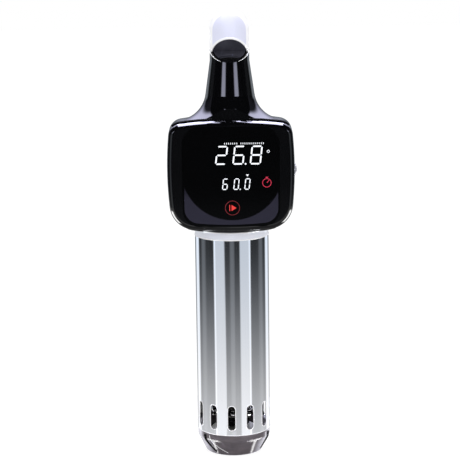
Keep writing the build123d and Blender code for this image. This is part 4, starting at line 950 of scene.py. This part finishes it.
table_share = spread(sky, fall, *TABLE_FALL, 0.0, TABLE_SHARE, smooth=True)
table = spread(sky, fall, *UNDER_FALL, TABLE_LEVEL, UNDER_LEVEL, smooth=True)
lower = blend(table_share, levels(bearing, PANEL_LEVELS), table)
front_share = between(bearing, *FRONT_BEARING, FRONT_SOFT)
front_level = spread(sky, fall, *FRONT_FALL, FRONT_LEVEL, 1.0, smooth=True)
lower = maths(sky, "MULTIPLY", lower, blend(front_share, 1.0, front_level))
corner_side = spread(sky, bearing, *CORNER_START, smooth=True)
corner_end = spread(sky, bearing, *CORNER_END, 1.0, 0.0, smooth=True)
corners = maths(sky, "MULTIPLY", corner_side, corner_end)
corners = maths(sky, "MULTIPLY", corners, between(fall, *CORNER_FALL, CORNER_SOFT))
lower = maths(sky, "ADD", lower, maths(sky, "MULTIPLY", corners, CORNER_LEVEL))
strokes = levels(over, STROKE_LEVELS, OVERHEAD_SCALE)
strokes = maths(sky, "MULTIPLY", strokes, between(aside, *STROKE_ASIDE, STROKE_SOFT))
shoulders = levels(over, SHOULDER_LEVELS, OVERHEAD_SCALE)
side_share = spread(sky, aside, *SHOULDER_ASIDE, SHOULDER_REST, 1.0, smooth=True)
behind_share = spread(sky, over, *SHOULDER_BEHIND, smooth=True)
shoulders = maths(sky, "MULTIPLY", shoulders, maths(sky, "MAXIMUM", side_share, behind_share))
upper = maths(sky, "ADD", strokes, shoulders)
overhead_share = spread(sky, aside, *OVERHEAD_ASIDE, 1.0, OVERHEAD_REST, smooth=True)
upper = maths(sky, "MULTIPLY", upper, overhead_share)
box_sides = between(bearing, *BOX_BEARING, BOX_BEARING_SOFT)
boxes = maths(sky, "MULTIPLY", box_sides, between(rise, *BOX_RISE, BOX_RISE_SOFT))
studio = blend(spread(sky, rise, *UPPER_RISE, smooth=True), lower, upper)
studio = maths(sky, "ADD", studio, maths(sky, "MULTIPLY", boxes, BOX_LEVEL))

ray = sky.nodes.new("ShaderNodeLightPath")
level = blend(ray.outputs["Is Glossy Ray"], PLAIN_LIGHT, studio)
seen = maths(sky, "MAXIMUM", ray.outputs["Is Camera Ray"], ray.outputs["Is Transmission Ray"])
level = blend(seen, level, 1.0)
background = sky.nodes.new("ShaderNodeBackground")
not_glossy = maths(sky, "SUBTRACT", 1.0, ray.outputs["Is Glossy Ray"])
plain_share = maths(sky, "MAXIMUM", not_glossy, spread(sky, fall, *COOL_FALL))
plain_share = maths(sky, "MINIMUM", plain_share, 1.0)
tint = two_colours(sky, spread(sky, rise, *LILAC_RISE), COOL, LILAC)
sky.links.new(two_colours(sky, plain_share, tint, WHITE), background.inputs["Color"])
sky.links.new(level, background.inputs["Strength"])
output = sky.nodes.new("ShaderNodeOutputWorld")
sky.links.new(background.outputs["Background"], output.inputs["Surface"])


# Soft lamps, which glossy pieces don't mirror
# Each has a name, a place, a width and a power in watts, and points at the origin
LAMPS = (
    ("key", (-0.9, -1.3, 1.3), 0.9, 6.0),
    ("fill", (1.2, -0.9, 0.7), 0.9, 3.0),
    ("rim", (0.4, 1.3, 1.1), 0.8, 4.0),
)
for lamp_name, lamp_place, lamp_size, lamp_power in LAMPS:
    light = bpy.data.lights.new(lamp_name, "AREA")
    light.shape = "SQUARE"
    light.size = lamp_size
    light.energy = lamp_power
    lamp = bpy.data.objects.new(lamp_name, light)
    lamp.location = lamp_place
    lamp.rotation_euler = (-Vector(lamp_place)).to_track_quat("-Z", "Y").to_euler()
    lamp.visible_glossy = False
    lamp.visible_camera = False
    bpy.context.collection.objects.link(lamp)


# Camera
camera_data = bpy.data.cameras.new("camera")
camera_data.lens = CAMERA_LENS
camera_data.sensor_width = CAMERA_SENSOR
camera_data.clip_start = CAMERA_NEAR
camera = bpy.data.objects.new("camera", camera_data)
camera.location = CAMERA_PLACE
camera.rotation_mode = "QUATERNION"
level_turn = Euler((math.pi / 2 - CAMERA_PITCH, 0.0, 0.0)).to_quaternion()
camera.rotation_quaternion = level_turn @ Quaternion((0.0, 0.0, 1.0), CAMERA_ROLL)
bpy.context.collection.objects.link(camera)
bpy.context.scene.camera = camera

bpy.context.scene.view_settings.view_transform = "Standard"
